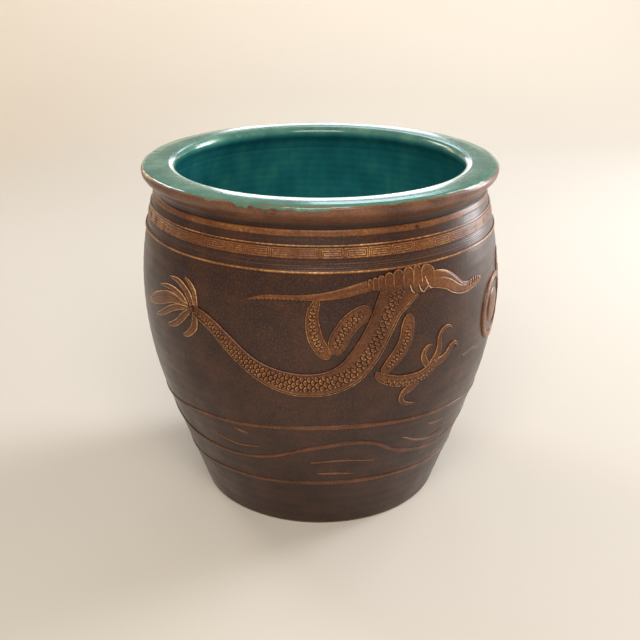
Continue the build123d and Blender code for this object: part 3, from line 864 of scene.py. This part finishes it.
class Strip:
    """Grid of a clay strip on the wall"""

    def __init__(self, places, side_turn, columns, blunt="", girth=GIRTH, step=FINE):
        line = [(*on_belly((turn + side_turn, share)), width * girth / 2) for turn, share, width in places]
        length = np.linalg.norm(np.diff(line, axis=0)[:, :2], axis=1).sum()
        path = smooth(line, max(FEWEST, round(length / (step * SPARSE))))
        x, z, half = path[:, 0:1], path[:, 1:2], np.maximum(path[:, 2:3], 0.5 * MM)
        lean = np.sqrt(1 + wall_slope(z) ** 2)
        ahead = np.gradient(path[:, :2], axis=0)
        ahead_x, ahead_z = ahead[:, 0:1] * wall_radius(z) / BELLY_RADIUS, ahead[:, 1:2] * lean
        size = np.hypot(ahead_x, ahead_z)
        self.along = np.concatenate([[0], np.cumsum(size[1:, 0])])[:, None]
        self.length = float(self.along[-1, 0])
        self.share = self.along / self.length
        spread = np.linspace(-1, 1, columns)[None, :]
        self.across = spread * (1 + 0.25 * (1 - spread**2))
        to_start = self.along + (HIDDEN if "start" in blunt else 0)
        to_end = self.length - self.along + (HIDDEN if "end" in blunt else 0)
        self.to_tip = np.minimum(to_start, to_end)
        end = np.clip(self.to_tip / half, 0.02, 1)
        self.half = half * np.sqrt(end * (2 - end))
        self.side = self.across * self.half
        self.from_edge = self.half - np.abs(self.side)
        self.turn = x / BELLY_RADIUS - ahead_z / size * self.side / wall_radius(z)
        self.z = z + ahead_x / size * self.side / lean

    def pillow(self, rise, power=8):
        """Low pillow with steep sides, lower at both ends"""
        ends = np.minimum(1, self.to_tip / (2.5 * MM) + 0.35)
        thin = np.minimum(1, self.half / (3.5 * MM)) ** 0.5
        return rise * thin * ends * domed(self.across, power)

    def closed(self, lift, tone, sink=0.9 * MM):
        """Closed shell of the strip with a lift and tone at each point"""
        out = np.abs(self.across)
        face = on_skin(self.turn, self.z, np.where(out > 0.999, -sink, lift))
        inner = inner_columns(out)
        back = on_skin(self.turn[:, inner], self.z[:, inner], -2 * sink)
        return shell(face, back, np.clip(np.where(out > 0.96, 0.12, tone), 0, 1), ring=False)


# %% Tool marks
SCALE_ROW, SCALE_LENGTH, SCALE_BREADTH = 0.5, 0.62, 0.58  # in pitches


def outline(strip, inset=1.3 * MM, width=0.75 * MM, double=0.0):
    """Raised line along both edges with a groove inside it, and a second line inside that"""
    off = strip.from_edge - inset
    room = step_up(strip.half, 2.5 * MM, 5 * MM)
    second = ridge(off - 4.8 * width, width) * double
    return ridge(off, width) * room + 0.7 * second, ridge(off - 2.3 * width, width) * room


def scales(along, side):
    """Lapped round scales, measured in pitches: nearness to the top scale's rim, and its eye"""
    rim = np.full(np.broadcast(along, side).shape, 2.0)
    eye = np.zeros_like(rim)
    for ahead in (2, 1, 0):
        number = np.floor(along / SCALE_ROW) + ahead
        shift = (number % 2) / 2
        nearest = np.round(side - shift) + shift
        behind = number * SCALE_ROW - along
        gap = np.hypot(behind / SCALE_LENGTH, (side - nearest) / SCALE_BREADTH)
        free = (rim > 1.5) & (gap < 1)
        rim = np.where(free, gap, rim)
        eye = np.where(free, ridge(np.hypot(behind - 0.55 * SCALE_LENGTH, side - nearest), 0.08), eye)
    return np.minimum(rim, 1), eye


def scaled_skin(strip, pitch, centre, spread):
    """Lift and tone of a field of scales down the middle of a strip, each scale with a painted highlight
    ring
    """
    steps = np.diff(strip.along[:, 0], prepend=0)[:, None] / pitch
    rim, eye = scales(np.cumsum(steps, axis=0), strip.side / pitch)
    inside = 1 - step_up(np.abs(strip.across - centre), spread - 0.1, spread)
    line = step_up(rim, 0.8, 0.91)
    lift = 0.55 * MM * (1 - rim**3) - 0.75 * MM * line - 0.15 * MM * eye
    # painted highlight: a pale ring just inside the rim of each scale, where wet gloss would catch the light
    tone = 0.02 + 0.36 * ridge(rim - 0.62, 0.12) - 1.45 * line - 0.25 * eye
    return lift * inside, tone * inside


# %% [markdown]
# ## The waves
# Three long waves run round the foot of the jar, with short ripple strokes between them. They
# are half-round rolls of clay, flattened with a fingertip.

# %% Places of the waves and ripples
WAVES = {
    "upper_wave": [
        (-90, 0.342), (-58, 0.35), (-45, 0.363), (-26, 0.372), (-8, 0.384), (6, 0.387),
        (19, 0.385), (34, 0.376), (50, 0.365), (68, 0.352), (90, 0.342),
    ],
    "middle_wave": [
        (-90, 0.285), (-72, 0.272), (-52, 0.25), (-34, 0.246), (-18, 0.265), (-5, 0.305), (4, 0.321),
        (12, 0.327), (19, 0.313), (26, 0.277), (35, 0.25), (45, 0.236), (58, 0.238), (76, 0.27), (90, 0.285),
    ],
    "lower_wave": [
        (-90, 0.164), (-68, 0.148), (-48, 0.159), (-24, 0.167), (0, 0.174), (20, 0.175),
        (34, 0.171), (45, 0.161), (68, 0.154), (90, 0.164),
    ],
}
RIPPLES = [
    [(-29, 0.349, 0.5), (-26.5, 0.344, 1), (-24.3, 0.339, 0.5)],
    [(-39, 0.302, 0.5), (-30, 0.289, 1), (-21.5, 0.296, 0.5)],
    [(-3.5, 0.254, 0.5), (8, 0.262, 1), (20, 0.248, 0.5)],
    [(-1, 0.211, 0.5), (6, 0.211, 1), (13, 0.207, 0.5)],
    [(29, 0.314, 0.5), (36.5, 0.283, 1), (43.5, 0.27, 1), (50.5, 0.282, 0.5)],
    [(39, 0.334, 0.5), (43, 0.327, 1), (47.5, 0.329, 0.5)],
]
WAVE_COUNT = 1400 // SPARSE
WAVE_SAMPLES = 2600
WAVE_WIDTH = 7.6 * MM
WAVE_RISE = 1.6 * MM
RIPPLE_WIDTH = 4.4 * MM
RIPPLE_RISE = 1.2 * MM
SINK = 0.8 * MM  # of an edge pressed under the wall; a back lies twice as deep


def wave_shell(half_turn):
    """A wave all round the jar, its second half the first turned by half a turn"""
    places = [(turn + shift, share) for shift in (-180, 0, 180, 360) for turn, share in half_turn[:-1]]
    spare = len(half_turn) - 4  # three places more than a whole turn stay at both ends
    line = smooth([on_belly(place) for place in places[spare:-spare]], WAVE_SAMPLES)
    turn = np.linspace(-pi / 2, 1.5 * pi, WAVE_COUNT, endpoint=False)[:, None]
    z = np.interp(turn, line[:, 0] / BELLY_RADIUS, line[:, 1])
    half = WAVE_WIDTH / 2 * (0.85 + 0.18 * np.sin(3 * turn + 1) + 0.1 * np.sin(7 * turn))
    across = np.linspace(-1, 1, 11)[None, :]
    edge = np.abs(across) > 0.99
    crease = ridge(across + 0.25, 0.16) * swell(2 * turn + 4)
    lift = WAVE_RISE * domed(across, 3) * (0.85 + 0.15 * np.sin(5 * turn)) - 0.5 * MM * crease
    tone = 0.36 + 0.14 * (1 - across**2) - 0.25 * crease + 0.07 * np.sin(11 * turn) * np.sin(29 * turn)
    face = on_skin(turn, z + across * half, np.where(edge, -SINK, lift))
    back = on_skin(turn, z + np.array([[0.7, -0.7]]) * half, -2 * SINK)
    return shell(face, back, np.where(edge, 0.15, tone))


def ripple_shell(places, side_turn):
    """One short stroke"""
    strip = Strip(places, side_turn, 9, girth=RIPPLE_WIDTH, step=1 * MM)
    return strip.closed(strip.pillow(RIPPLE_RISE, 3), 0.4 + 0.25 * (1 - strip.across**2), 0.6 * MM)


for node, places in WAVES.items():
    clay_piece(node, [wave_shell(places)])
clay_piece("ripple_strokes", [ripple_shell(stroke, turn) for turn in SIDES.values() for stroke in RIPPLES])

# %% [markdown]
# ## The dragon
# Each dragon is nine pieces of clay. The places of each strip were marked on the photograph and
# turned into angles and heights on the wall. The body is a long strap with a raised line along
# both edges and lapped scales, each with a pricked eye, down its middle.

# %% Places of the dragon's strips
SPINE = [
    (-38.8, 0.689, 0.4), (-36.4, 0.682, 0.46), (-32, 0.661, 0.5), (-27.8, 0.63, 0.58), (-20, 0.572, 0.68),
    (-14.5, 0.545, 0.82), (-9, 0.53, 0.93), (-2.7, 0.526, 0.97), (3.1, 0.535, 1),
    (8.3, 0.56, 1.06), (11.8, 0.597, 1.07), (14.4, 0.633, 1.06), (16.3, 0.667, 1.04),
    (18.1, 0.7, 1.05), (19.8, 0.732, 1.14), (21.9, 0.758, 1.4), (23.6, 0.782, 1.7),
]
THIGH = [
    (14.6, 0.724, 0.34), (13.3, 0.724, 0.6), (11.8, 0.72, 0.66), (9.7, 0.709, 0.7),
    (7.9, 0.694, 0.72), (6.5, 0.676, 0.72), (5.3, 0.657, 0.74), (4.5, 0.637, 0.66), (3.6, 0.614, 0.44),
]
SHIN = [
    (3.2, 0.61, 0.34), (1.3, 0.621, 0.5), (0, 0.637, 0.54), (-1.2, 0.659, 0.56), (-1.9, 0.685, 0.54),
    (-2.2, 0.711, 0.48), (-1.9, 0.733, 0.42), (-1.2, 0.75, 0.33), (-0.7, 0.764, 0.23),
]
RIGHT_LEG = [
    (25.6, 0.708, 0.16), (25.6, 0.695, 0.38), (25.4, 0.675, 0.54), (25.1, 0.652, 0.56), (24.4, 0.628, 0.57),
    (23.1, 0.607, 0.56), (21.4, 0.587, 0.53), (19.9, 0.571, 0.46), (18.6, 0.556, 0.4), (17.9, 0.548, 0.3),
]
FOREARM = [
    (16.1, 0.556, 0.22), (17.4, 0.541, 0.36), (19.9, 0.529, 0.45), (22.9, 0.52, 0.48),
    (26.6, 0.517, 0.49), (30.4, 0.52, 0.47), (32.8, 0.528, 0.47), (34.6, 0.541, 0.44), (36, 0.556, 0.36),
]
CLAWS = [
    [(33.6, 0.54, 0.26), (32.2, 0.556, 0.26), (31.2, 0.575, 0.24), (31.4, 0.591, 0.19), (32.4, 0.603, 0.14),
     (34.3, 0.604, 0.05)],
    [(34.6, 0.548, 0.32), (36.3, 0.571, 0.3), (36.9, 0.592, 0.25), (36.7, 0.614, 0.2), (37.3, 0.633, 0.17),
     (38.7, 0.644, 0.14), (40.6, 0.643, 0.1), (42, 0.632, 0.05)],
    [(34.8, 0.543, 0.3), (37.5, 0.549, 0.32), (40, 0.559, 0.28), (41.2, 0.573, 0.24), (42.1, 0.584, 0.2),
     (43.4, 0.588, 0.15), (44.6, 0.58, 0.11), (44.9, 0.567, 0.05)],
    [(29.4, 0.508, 0.42), (27.3, 0.489, 0.36), (25.6, 0.477, 0.27), (24.9, 0.462, 0.22), (25.8, 0.446, 0.2),
     (28, 0.438, 0.14), (30.6, 0.434, 0.05)],
]
WHISKER = [
    (-20.6, 0.751, 0.05), (-16, 0.761, 0.18), (-11, 0.764, 0.18), (-5.3, 0.765, 0.22),
    (0.2, 0.768, 0.28), (5.8, 0.775, 0.36), (11.4, 0.786, 0.4), (15.5, 0.793, 0.44),
]
CREST = [
    (13.4, 0.792, 0.4), (17.5, 0.794, 0.58), (21.1, 0.795, 0.76), (24.8, 0.794, 0.9),
    (28.7, 0.7915, 1.02), (31.8, 0.79, 1), (34.2, 0.783, 0.74),
]
HEAD = [
    (33.4, 0.783, 0.62), (37.5, 0.777, 0.7), (40.2, 0.767, 0.67), (42.8, 0.751, 0.64),
    (45.6, 0.737, 0.5), (49.2, 0.732, 0.4), (52.9, 0.736, 0.4), (57.4, 0.738, 0.14),
]
PLUME = [
    [(-38.2, 0.695, 0.16), (-38.4, 0.719, 0.18), (-39.3, 0.742, 0.2), (-41, 0.759, 0.17),
     (-43.3, 0.77, 0.07)],
    [(-39.8, 0.7, 0.24), (-41.2, 0.725, 0.28), (-43.2, 0.741, 0.26), (-45.7, 0.753, 0.22),
     (-50.6, 0.756, 0.06)],
    [(-42, 0.697, 0.2), (-44.3, 0.713, 0.28), (-47, 0.723, 0.26), (-50.8, 0.727, 0.2), (-56, 0.72, 0.07)],
    [(-41.5, 0.696, 0.14), (-46.7, 0.701, 0.33), (-50, 0.699, 0.46), (-54.5, 0.686, 0.53),
     (-59.5, 0.669, 0.46), (-64.3, 0.649, 0.12)],
    [(-41.5, 0.691, 0.14), (-45.8, 0.683, 0.26), (-49.5, 0.669, 0.27), (-53.2, 0.65, 0.27),
     (-56.8, 0.633, 0.18), (-59.3, 0.626, 0.07)],
    [(-40.5, 0.686, 0.16), (-43.8, 0.661, 0.31), (-46, 0.642, 0.28), (-48.7, 0.627, 0.25),
     (-51.6, 0.617, 0.12)],
    [(-38.9, 0.684, 0.18), (-38.8, 0.66, 0.3), (-39.1, 0.644, 0.32), (-40.5, 0.627, 0.28),
     (-42.7, 0.612, 0.2), (-44.4, 0.608, 0.08)],
]
KNOB_PLACE = (-40.6, 0.688)
KNOB_RADIUS = 5.5 * MM
KNOB_RISE = 4 * MM
print("claws:", len(CLAWS), "fronds:", len(PLUME))

# %% Body, with a field of scales that shifts and narrows along it
BODY_RISE = 2.9 * MM
SCALE_FIELD = [  # share along, pitch of the scales in mm, their middle and reach in half widths
    (0, 8, -0.1, 0.3), (0.08, 8.8, -0.2, 0.6), (0.25, 10, 0, 0.72), (0.42, 11.2, 0.14, 0.7),
    (0.55, 11.4, 0.12, 0.62), (0.68, 11.2, -0.12, 0.52), (0.8, 10.8, -0.14, 0.48), (0.9, 10.4, -0.06, 0.4),
    (0.95, 10, 0, 0.34), (1, 10, 0, 0.3),
]


def body_shell(side_turn):
    """The dragon's body"""
    strip = Strip(SPINE, side_turn, 84, "start end")
    stops, *fields = np.transpose(SCALE_FIELD)
    pitch, centre, spread = (np.interp(strip.share, stops, field) for field in fields)
    lift, tone = scaled_skin(strip, pitch * MM, centre, spread)
    lower_edge = step_up(-strip.across, 0, 0.3)
    line, groove = outline(strip, double=step_up(strip.half, 13 * MM, 18 * MM) * lower_edge)
    line, groove = line * (0.45 + 0.55 * lower_edge), groove * (0.4 + 0.6 * lower_edge)
    under_crest = 1 - 0.5 * step_up(strip.share, 0.93, 0.98)
    lift = strip.pillow(BODY_RISE) * under_crest + lift + 0.5 * MM * line - 0.55 * MM * groove
    return strip.closed(lift, 0.46 + tone + 0.42 * line - 0.42 * groove)


# %% [markdown]
# Legs are the same strap, smaller: thigh and shin lie in a V, with one or two rows of scales.
# Claws, fronds and flames are thin straps, raised along their edges and grooved with a tool.

# %% Legs, claws and fronds
LIMB_RISE = 2.5 * MM
LIMB_PITCH = 9.6 * MM  # of the scales
CLAW_RISE = 2.0 * MM
TOOL_WIDTH = 0.5 * MM


def between(value, low, full, fading, gone):
    """Smooth rise from low to full, then a smooth fall from fading to gone"""
    return step_up(value, low, full) * (1 - step_up(value, fading, gone))


def limb_shell(places, side_turn, centre, spread):
    """A limb, with a field of scales of a given middle and reach"""
    strip = Strip(places, side_turn, 44)
    lift, tone = scaled_skin(strip, LIMB_PITCH, centre, spread)
    fade = between(strip.share, 0.1, 0.25, 0.8, 0.95)
    line, groove = outline(strip, 1.2 * MM, 0.65 * MM)
    lift = strip.pillow(LIMB_RISE) + lift * fade + 0.4 * MM * line - 0.35 * MM * groove
    return strip.closed(lift, 0.5 + tone * fade + 0.25 * line - 0.25 * groove)


def tooled_shell(places, side_turn, marks=(), base=0.48):
    """A thin strap, raised along its edges, with grooves drawn along it at shares of the half width"""
    strip = Strip(places, side_turn, 24, "start")
    room = step_up(strip.half, 1.2 * MM, 2.6 * MM)
    edge_line = ridge(strip.from_edge - 0.9 * MM, TOOL_WIDTH) * room
    dip = (1 - strip.across**2) * room
    lift = strip.pillow(CLAW_RISE, 5) + 0.4 * MM * edge_line - 0.25 * MM * dip
    tone = base - 0.08 * dip + 0.4 * edge_line
    for mark in marks:
        off = strip.side - mark * strip.half
        groove = ridge(off, TOOL_WIDTH) * room
        lift = lift - 0.5 * MM * groove
        tone = tone - 0.4 * groove + 0.22 * ridge(off - 2 * TOOL_WIDTH, TOOL_WIDTH) * room
    return strip.closed(lift, tone)


# %% [markdown]
# The crest is a row of curls like bent fingers: rounded at the top, each turned forward at the
# foot. They widen from the horn to the brow, and the clay between their tips is cut away.

# %% Crest of curls
CURLS = (0, 0.063, 0.14, 0.237, 0.357, 0.502, 0.654, 0.788, 1)  # shares along the crest
CREST_RISE = 3.0 * MM
CREST_HALF = 17  # mm, half width where the lines below are drawn
BROW_LINE = [(0.85, 0.1), (0.885, -0.25), (0.935, -0.55), (0.995, -0.76)]  # share along, across
HOOK_LINE = [(-4.4, -0.3), (-3.2, -0.55), (-0.6, -0.82), (3.6, -0.96)]  # mm from a curl's edge, across
LAST_HOOK = HOOK_LINE + [(8, -0.93), (12, -0.8), (14.5, -0.62)]


def crest_strokes(route, scale=1.0):
    """Strokes of a route, in millimetres along and across the crest"""
    return strokes_of([(along * scale, across * CREST_HALF) for along, across in route])


def crest_shell(side_turn):
    """The crest's curls, each with a raised hook round its foot, painted with a highlight"""
    strip = Strip(CREST, side_turn, 70, "start end", step=FINER)
    size = step_up(strip.share, 0, 0.7)
    position = strip.along - 2 * MM * size * np.maximum(0, -strip.across)
    starts = np.array(CURLS) * strip.length
    number = np.clip(np.searchsorted(starts, position, side="right") - 1, 0, len(CURLS) - 2)
    radius = (starts[number + 1] - starts[number]) / 2
    within = position - starts[number] - radius
    from_top = strip.half * (1 - strip.across)
    inside = radius - np.hypot(within, np.maximum(0, radius - from_top))
    upper = 1 - 0.8 * size * step_up(-strip.across, 0.15, 0.5)
    leading = np.where(within < 0, 1, 0.2 + 0.8 * step_up(radius - from_top, 0, 2 * MM)) * upper
    line = ridge(inside - 0.9 * MM, 0.65 * MM) * leading
    groove = (1 - step_up(inside, -0.7 * MM, 0.5 * MM)) * upper
    brow = stroke_distance(strip.along / MM, strip.side / MM, crest_strokes(BROW_LINE, strip.length / MM))
    brow = ridge(brow, 0.7) * (0.5 + 0.5 * step_up(-strip.across, 0, 0.4))
    hook = np.minimum.reduce([
        stroke_distance((strip.along - edge) / MM, strip.across * CREST_HALF, crest_strokes(route))
        for edge, route in zip(starts[3:-1], [HOOK_LINE] * 4 + [LAST_HOOK])])
    bright = (0.2 + 0.8 * step_up(strip.share, 0.42, 0.6)) * step_up(-strip.across, 0.25, 0.5)
    hook_line, hook_groove = ridge(hook, 0.62) * bright, ridge(hook - 1.8, 0.8) * bright
    lift = strip.pillow(CREST_RISE, 10) + 0.7 * MM * (line + brow + hook_line)
    lift = lift - 0.9 * MM * groove - 0.6 * MM * hook_groove
    lift = np.where((inside < -0.6 * MM) & (strip.across > 0), np.minimum(lift, 0.4 * MM), lift)
    tone = 0.45 + 0.08 * step_up(inside, 0, 5 * MM) + 0.42 * line - 0.5 * groove
    # painted highlight: the brow line and the hooks are drawn near white, most on the lower part of the
    # crest and on the curls nearest the head
    tone = tone + 0.7 * np.maximum(brow, hook_line) - 0.3 * hook_groove
    foot = step_up(-strip.across, 0.35, 0.8) * (1 - 0.4 * size)
    return strip.closed(lift, tone - 0.15 * foot)


# %% [markdown]
# The horn runs back from the crest as a long smooth strap, nicked along its lower edge near the
# tip. The head is a low snout: a brow line, a mouth line that splits it, and a beard of strokes.

# %% Horn and head
HORN_RISE = 2.0 * MM
HEAD_RISE = 2.9 * MM
NICK_PITCH = 6 * MM
NICK_DEPTH = 1.6 * MM
BEARD_PITCH = 6.5 * MM


def horn_shell(side_turn):
    """The long smooth horn"""
    strip = Strip(WHISKER, side_turn, 26)
    nick = np.maximum(0, np.sin(2 * pi * strip.along / NICK_PITCH)) * (1 - step_up(strip.share, 0.4, 0.5))
    strip.z = strip.z + NICK_DEPTH * nick * (strip.across < -0.5) * np.abs(strip.across)
    streak = swell(strip.side / (1.3 * MM) + 3 * np.sin(strip.along / (30 * MM)))
    line = outline(strip, width=0.6 * MM)[0]
    lift = strip.pillow(HORN_RISE, 4) - 0.15 * MM * streak + 0.2 * MM * line
    return strip.closed(lift, 0.5 + 0.1 * streak + 0.1 * line - 0.2 * nick * (strip.across < -0.6))


def head_shell(side_turn):
    """The snout, with brow, mouth and beard"""
    strip = Strip(HEAD, side_turn, 48, "start", step=FINER)
    share, across = strip.share, strip.across
    jaw = between(share, 0.1, 0.16, 0.6, 0.66)
    off_mouth = across - 0.2 - 0.45 * share
    mouth, gum = ridge(off_mouth, 0.05) * jaw, ridge(off_mouth + 0.12, 0.06) * jaw
    brow = ridge(across - 0.86, 0.1) * between(share, 0.08, 0.14, 0.2, 0.3)
    hair = np.sin(2 * pi * (strip.along - 0.5 * strip.side) / BEARD_PITCH)
    beard = hair * between(share, 0.64, 0.7, 0.9, 0.96) * step_up(across, -0.2, 0.1)
    tongue = ridge(across + 0.3, 0.12) * step_up(share, 0.6, 0.7)
    line, groove = outline(strip, 1.1 * MM, 0.6 * MM)
    line = line * (1 - 0.8 * step_up(across, 0, 0.3) * step_up(share, 0.2, 0.3))
    low_snout = 1 - 0.4 * step_up(share, 0.25, 0.5)
    lift = strip.pillow(HEAD_RISE, 4) * low_snout + 0.5 * MM * (brow + line - beard)
    lift = lift + 0.25 * MM * gum - 0.6 * MM * mouth - 0.4 * MM * groove
    # painted highlight: the raised brow near the head's start is drawn pale, a glint along its top edge
    tone = 0.54 - 0.5 * mouth + 0.25 * gum + 0.5 * brow + 0.3 * line - 0.35 * beard + 0.2 * tongue
    return strip.closed(lift, tone - 0.15 * groove)


# %% [markdown]
# Every dragon chases a flaming pearl. Its ring and its low dome are pressed clay, grooved like
# the fronds of the tail.

# %% Flaming pearl
PEARL_PLACE = (69.5, 0.618)
PEARL_RADIUS = 54 * MM
PEARL_RING = 11 * MM
PEARL_CORE = 29 * MM
PEARL_RISE = 2.8 * MM
RING_COUNT = 320 // SPARSE
DOME_COUNT, DOME_ROWS = 120, 16
FLAME_TURNS = (-48, -15, 18, 51)
FLAME_LINE = [  # pearl's radii out, degrees round, width
    (0.9, 0, 0.34), (1.15, 12, 0.3), (1.4, 16, 0.18), (1.75, 6, 0.05),
]


def full_circle(count):
    """Angles all round a circle"""
    return np.linspace(0, 2 * pi, count, endpoint=False)[:, None]


def round_spot(place, side_turn, angle, out):
    """Turns and heights of points on the wall, at angles and distances from a place"""
    turn, z = radians(place[0] + side_turn), place[1] * HEIGHT
    return turn + out * np.cos(angle) / BELLY_RADIUS, z + out * np.sin(angle)


def pearl_ring_shell(side_turn):
    """Grooved ring of the pearl"""
    across = np.linspace(-1, 1, 15)[None, :]
    out = PEARL_RADIUS - PEARL_RING / 2 + across * PEARL_RING / 2
    turn, z = round_spot(PEARL_PLACE, side_turn, full_circle(RING_COUNT), out)
    groove = ridge(across - 0.05, 0.15) + ridge(across - 0.55, 0.12)
    lift = np.where(np.abs(across) > 0.99, -SINK, PEARL_RISE * domed(across, 6) - 0.6 * MM * groove)
    inner = inner_columns(across)
    back = on_skin(turn[:, inner], z[:, inner], -2 * SINK)
    tone = 0.66 + 0.15 * np.cos(pi * across) - 0.35 * groove
    return shell(on_skin(turn, z, lift), back, tone)


def dome_shell(place, side_turn, radius, rise):
    """Low round dome of clay, with a faint swirl"""
    angle = full_circle(DOME_COUNT)
    out = np.append(np.linspace(0, 1, DOME_ROWS), [0.9, 0])[None, :]
    lift = rise * domed(out, 2.5)
    lift[0, DOME_ROWS - 1 :] = -SINK, -2 * SINK, -2 * SINK
    grid = on_skin(*round_spot(place, side_turn, angle, radius * out), lift)
    return grid, 0.5 + 0.08 * np.sin(3 * angle + 9 * out) * (out > 0.1), True


def flame_shell(start, side_turn):
    """One grooved flame of the pearl"""
    places = []
    for out, sweep, width in FLAME_LINE:
        reach, angle = out * PEARL_RADIUS, radians(start + sweep)
        places.append((PEARL_PLACE[0] + degrees(reach * cos(angle) / BELLY_RADIUS),
                       PEARL_PLACE[1] + reach * sin(angle) / HEIGHT, width))
    return tooled_shell(places, side_turn, (-0.3, 0.3))


# %% [markdown]
# The second dragon is the first, pressed on half a turn round the jar.

# %% Both dragons
for side_name, side_turn in SIDES.items():
    claws = [tooled_shell(claw, side_turn) for claw in CLAWS]
    fronds = [tooled_shell(frond, side_turn, (-0.25,), base=0.6) for frond in PLUME]
    flames = [flame_shell(start, side_turn) for start in FLAME_TURNS]
    pearl = [pearl_ring_shell(side_turn), dome_shell(PEARL_PLACE, side_turn, PEARL_CORE, PEARL_RISE)]
    parts = {
        "dragon_body": [body_shell(side_turn)],
        "dragon_left_leg": [limb_shell(THIGH, side_turn, 0.0, 0.5), limb_shell(SHIN, side_turn, 0.05, 0.5)],
        "dragon_right_leg": [limb_shell(RIGHT_LEG, side_turn, 0.0, 0.45)],
        "dragon_forearm": [limb_shell(FOREARM, side_turn, -0.4, 0.5)] + claws,
        "dragon_tail_plume": fronds + [dome_shell(KNOB_PLACE, side_turn, KNOB_RADIUS, KNOB_RISE)],
        "dragon_whisker": [horn_shell(side_turn)],
        "dragon_crest": [crest_shell(side_turn)],
        "dragon_head": [head_shell(side_turn)],
        "flaming_pearl": pearl + flames,
    }
    for part, shells in parts.items():
        clay_piece(f"{side_name}_{part}", shells)

# %% [markdown]
# ## Studio
# The floor runs up into a backdrop in one sweep, in a warm pale cream. Soft lamps stand where
# windows would: a broad one in front and above, and bright upright ones at both sides of the back,
# which give the sheens along the jar's edges and on the rim.

# %% Floor and backdrop
SWEEP_RADIUS = 1.2
FLOOR_FRONT, FLOOR_BACK, BACKDROP_TOP = -4.0, 2.6, 1.3
HALF_WIDTH = 5.0


def sweep_mesh():
    """Floor that curves up into a backdrop"""
    angles = np.linspace(0, pi / 2, 24)
    bend = [(FLOOR_BACK + SWEEP_RADIUS * sin(a), SWEEP_RADIUS * (1 - cos(a))) for a in angles]
    line = [(FLOOR_FRONT, 0.0), *bend, (FLOOR_BACK + SWEEP_RADIUS, BACKDROP_TOP)]
    mesh = bpy.data.meshes.new("studio_sweep")
    vertices = [(x, y, z) for y, z in line for x in (-HALF_WIDTH, HALF_WIDTH)]
    faces = [(2 * k, 2 * k + 1, 2 * k + 3, 2 * k + 2) for k in range(len(line) - 1)]
    mesh.from_pydata(vertices, [], faces)
    mesh.shade_smooth()
    return mesh


paper = surfaced(blank_material("cream_paper")[0], {
    "Base Color": "#dcd6cd", "Roughness": 0.9, "Specular IOR Level": 0.2})
sweep = bpy.data.objects.new("studio_sweep", sweep_mesh())
sweep.data.materials.append(paper)
scene.collection.objects.link(sweep)


# %% Lamps
def soft_lamp(name, place, aim, size, power, colour):
    """Rectangular lamp that looks at a point"""
    data = bpy.data.lights.new(name, "AREA")
    data.shape = "RECTANGLE"
    data.size, data.size_y = size
    data.energy = power
    data.color = linear(colour)[:3]
    lamp = bpy.data.objects.new(name, data)
    lamp.location = place
    lamp.rotation_euler = (Vector(aim) - Vector(place)).to_track_quat("-Z", "Y").to_euler()
    scene.collection.objects.link(lamp)


soft_lamp("front_window", (0.05, -2.3, 2.5), (0, 0, 0.3), (2.0, 1.4), 64, "#fff6ea")
soft_lamp("right_window", (3.2, 1.45, 1.3), (0, 0, 0.3), (1.3, 2.4), 130, "#fbfcff")
soft_lamp("left_window", (-2.6, 2.75, 1.5), (0, 0, 0.4), (0.65, 2.1), 18, "#ffdcb0")
soft_lamp("low_back_window", (0.05, 2.9, 1.1), (0, 0, 0.5), (0.95, 0.35), 4.6, "#eef7ff")
soft_lamp("high_back_window", (0.32, 2.9, 1.9), (0, 0, 0.5), (0.75, 0.4), 3.8, "#d8edff")
soft_lamp("right_skylight", (1.45, 1.25, 1.95), (0, 0, 0.5), (0.7, 0.7), 10, "#f6faff")
soft_lamp("left_skylight", (-1.5, 1.35, 1.8), (0, 0, 0.5), (0.7, 0.7), 12, "#f6faff")
soft_lamp("backdrop_lamp", (0, 3.0, 1.3), (0, 3.8, 0.45), (4.5, 0.3), 15, "#fff6ea")

world = bpy.data.worlds.new("studio_air")
scene.world = world
world.use_nodes = True
background = world.node_tree.nodes["Background"]
background.inputs["Color"].default_value = linear("#f3ebde")
background.inputs["Strength"].default_value = 0.36
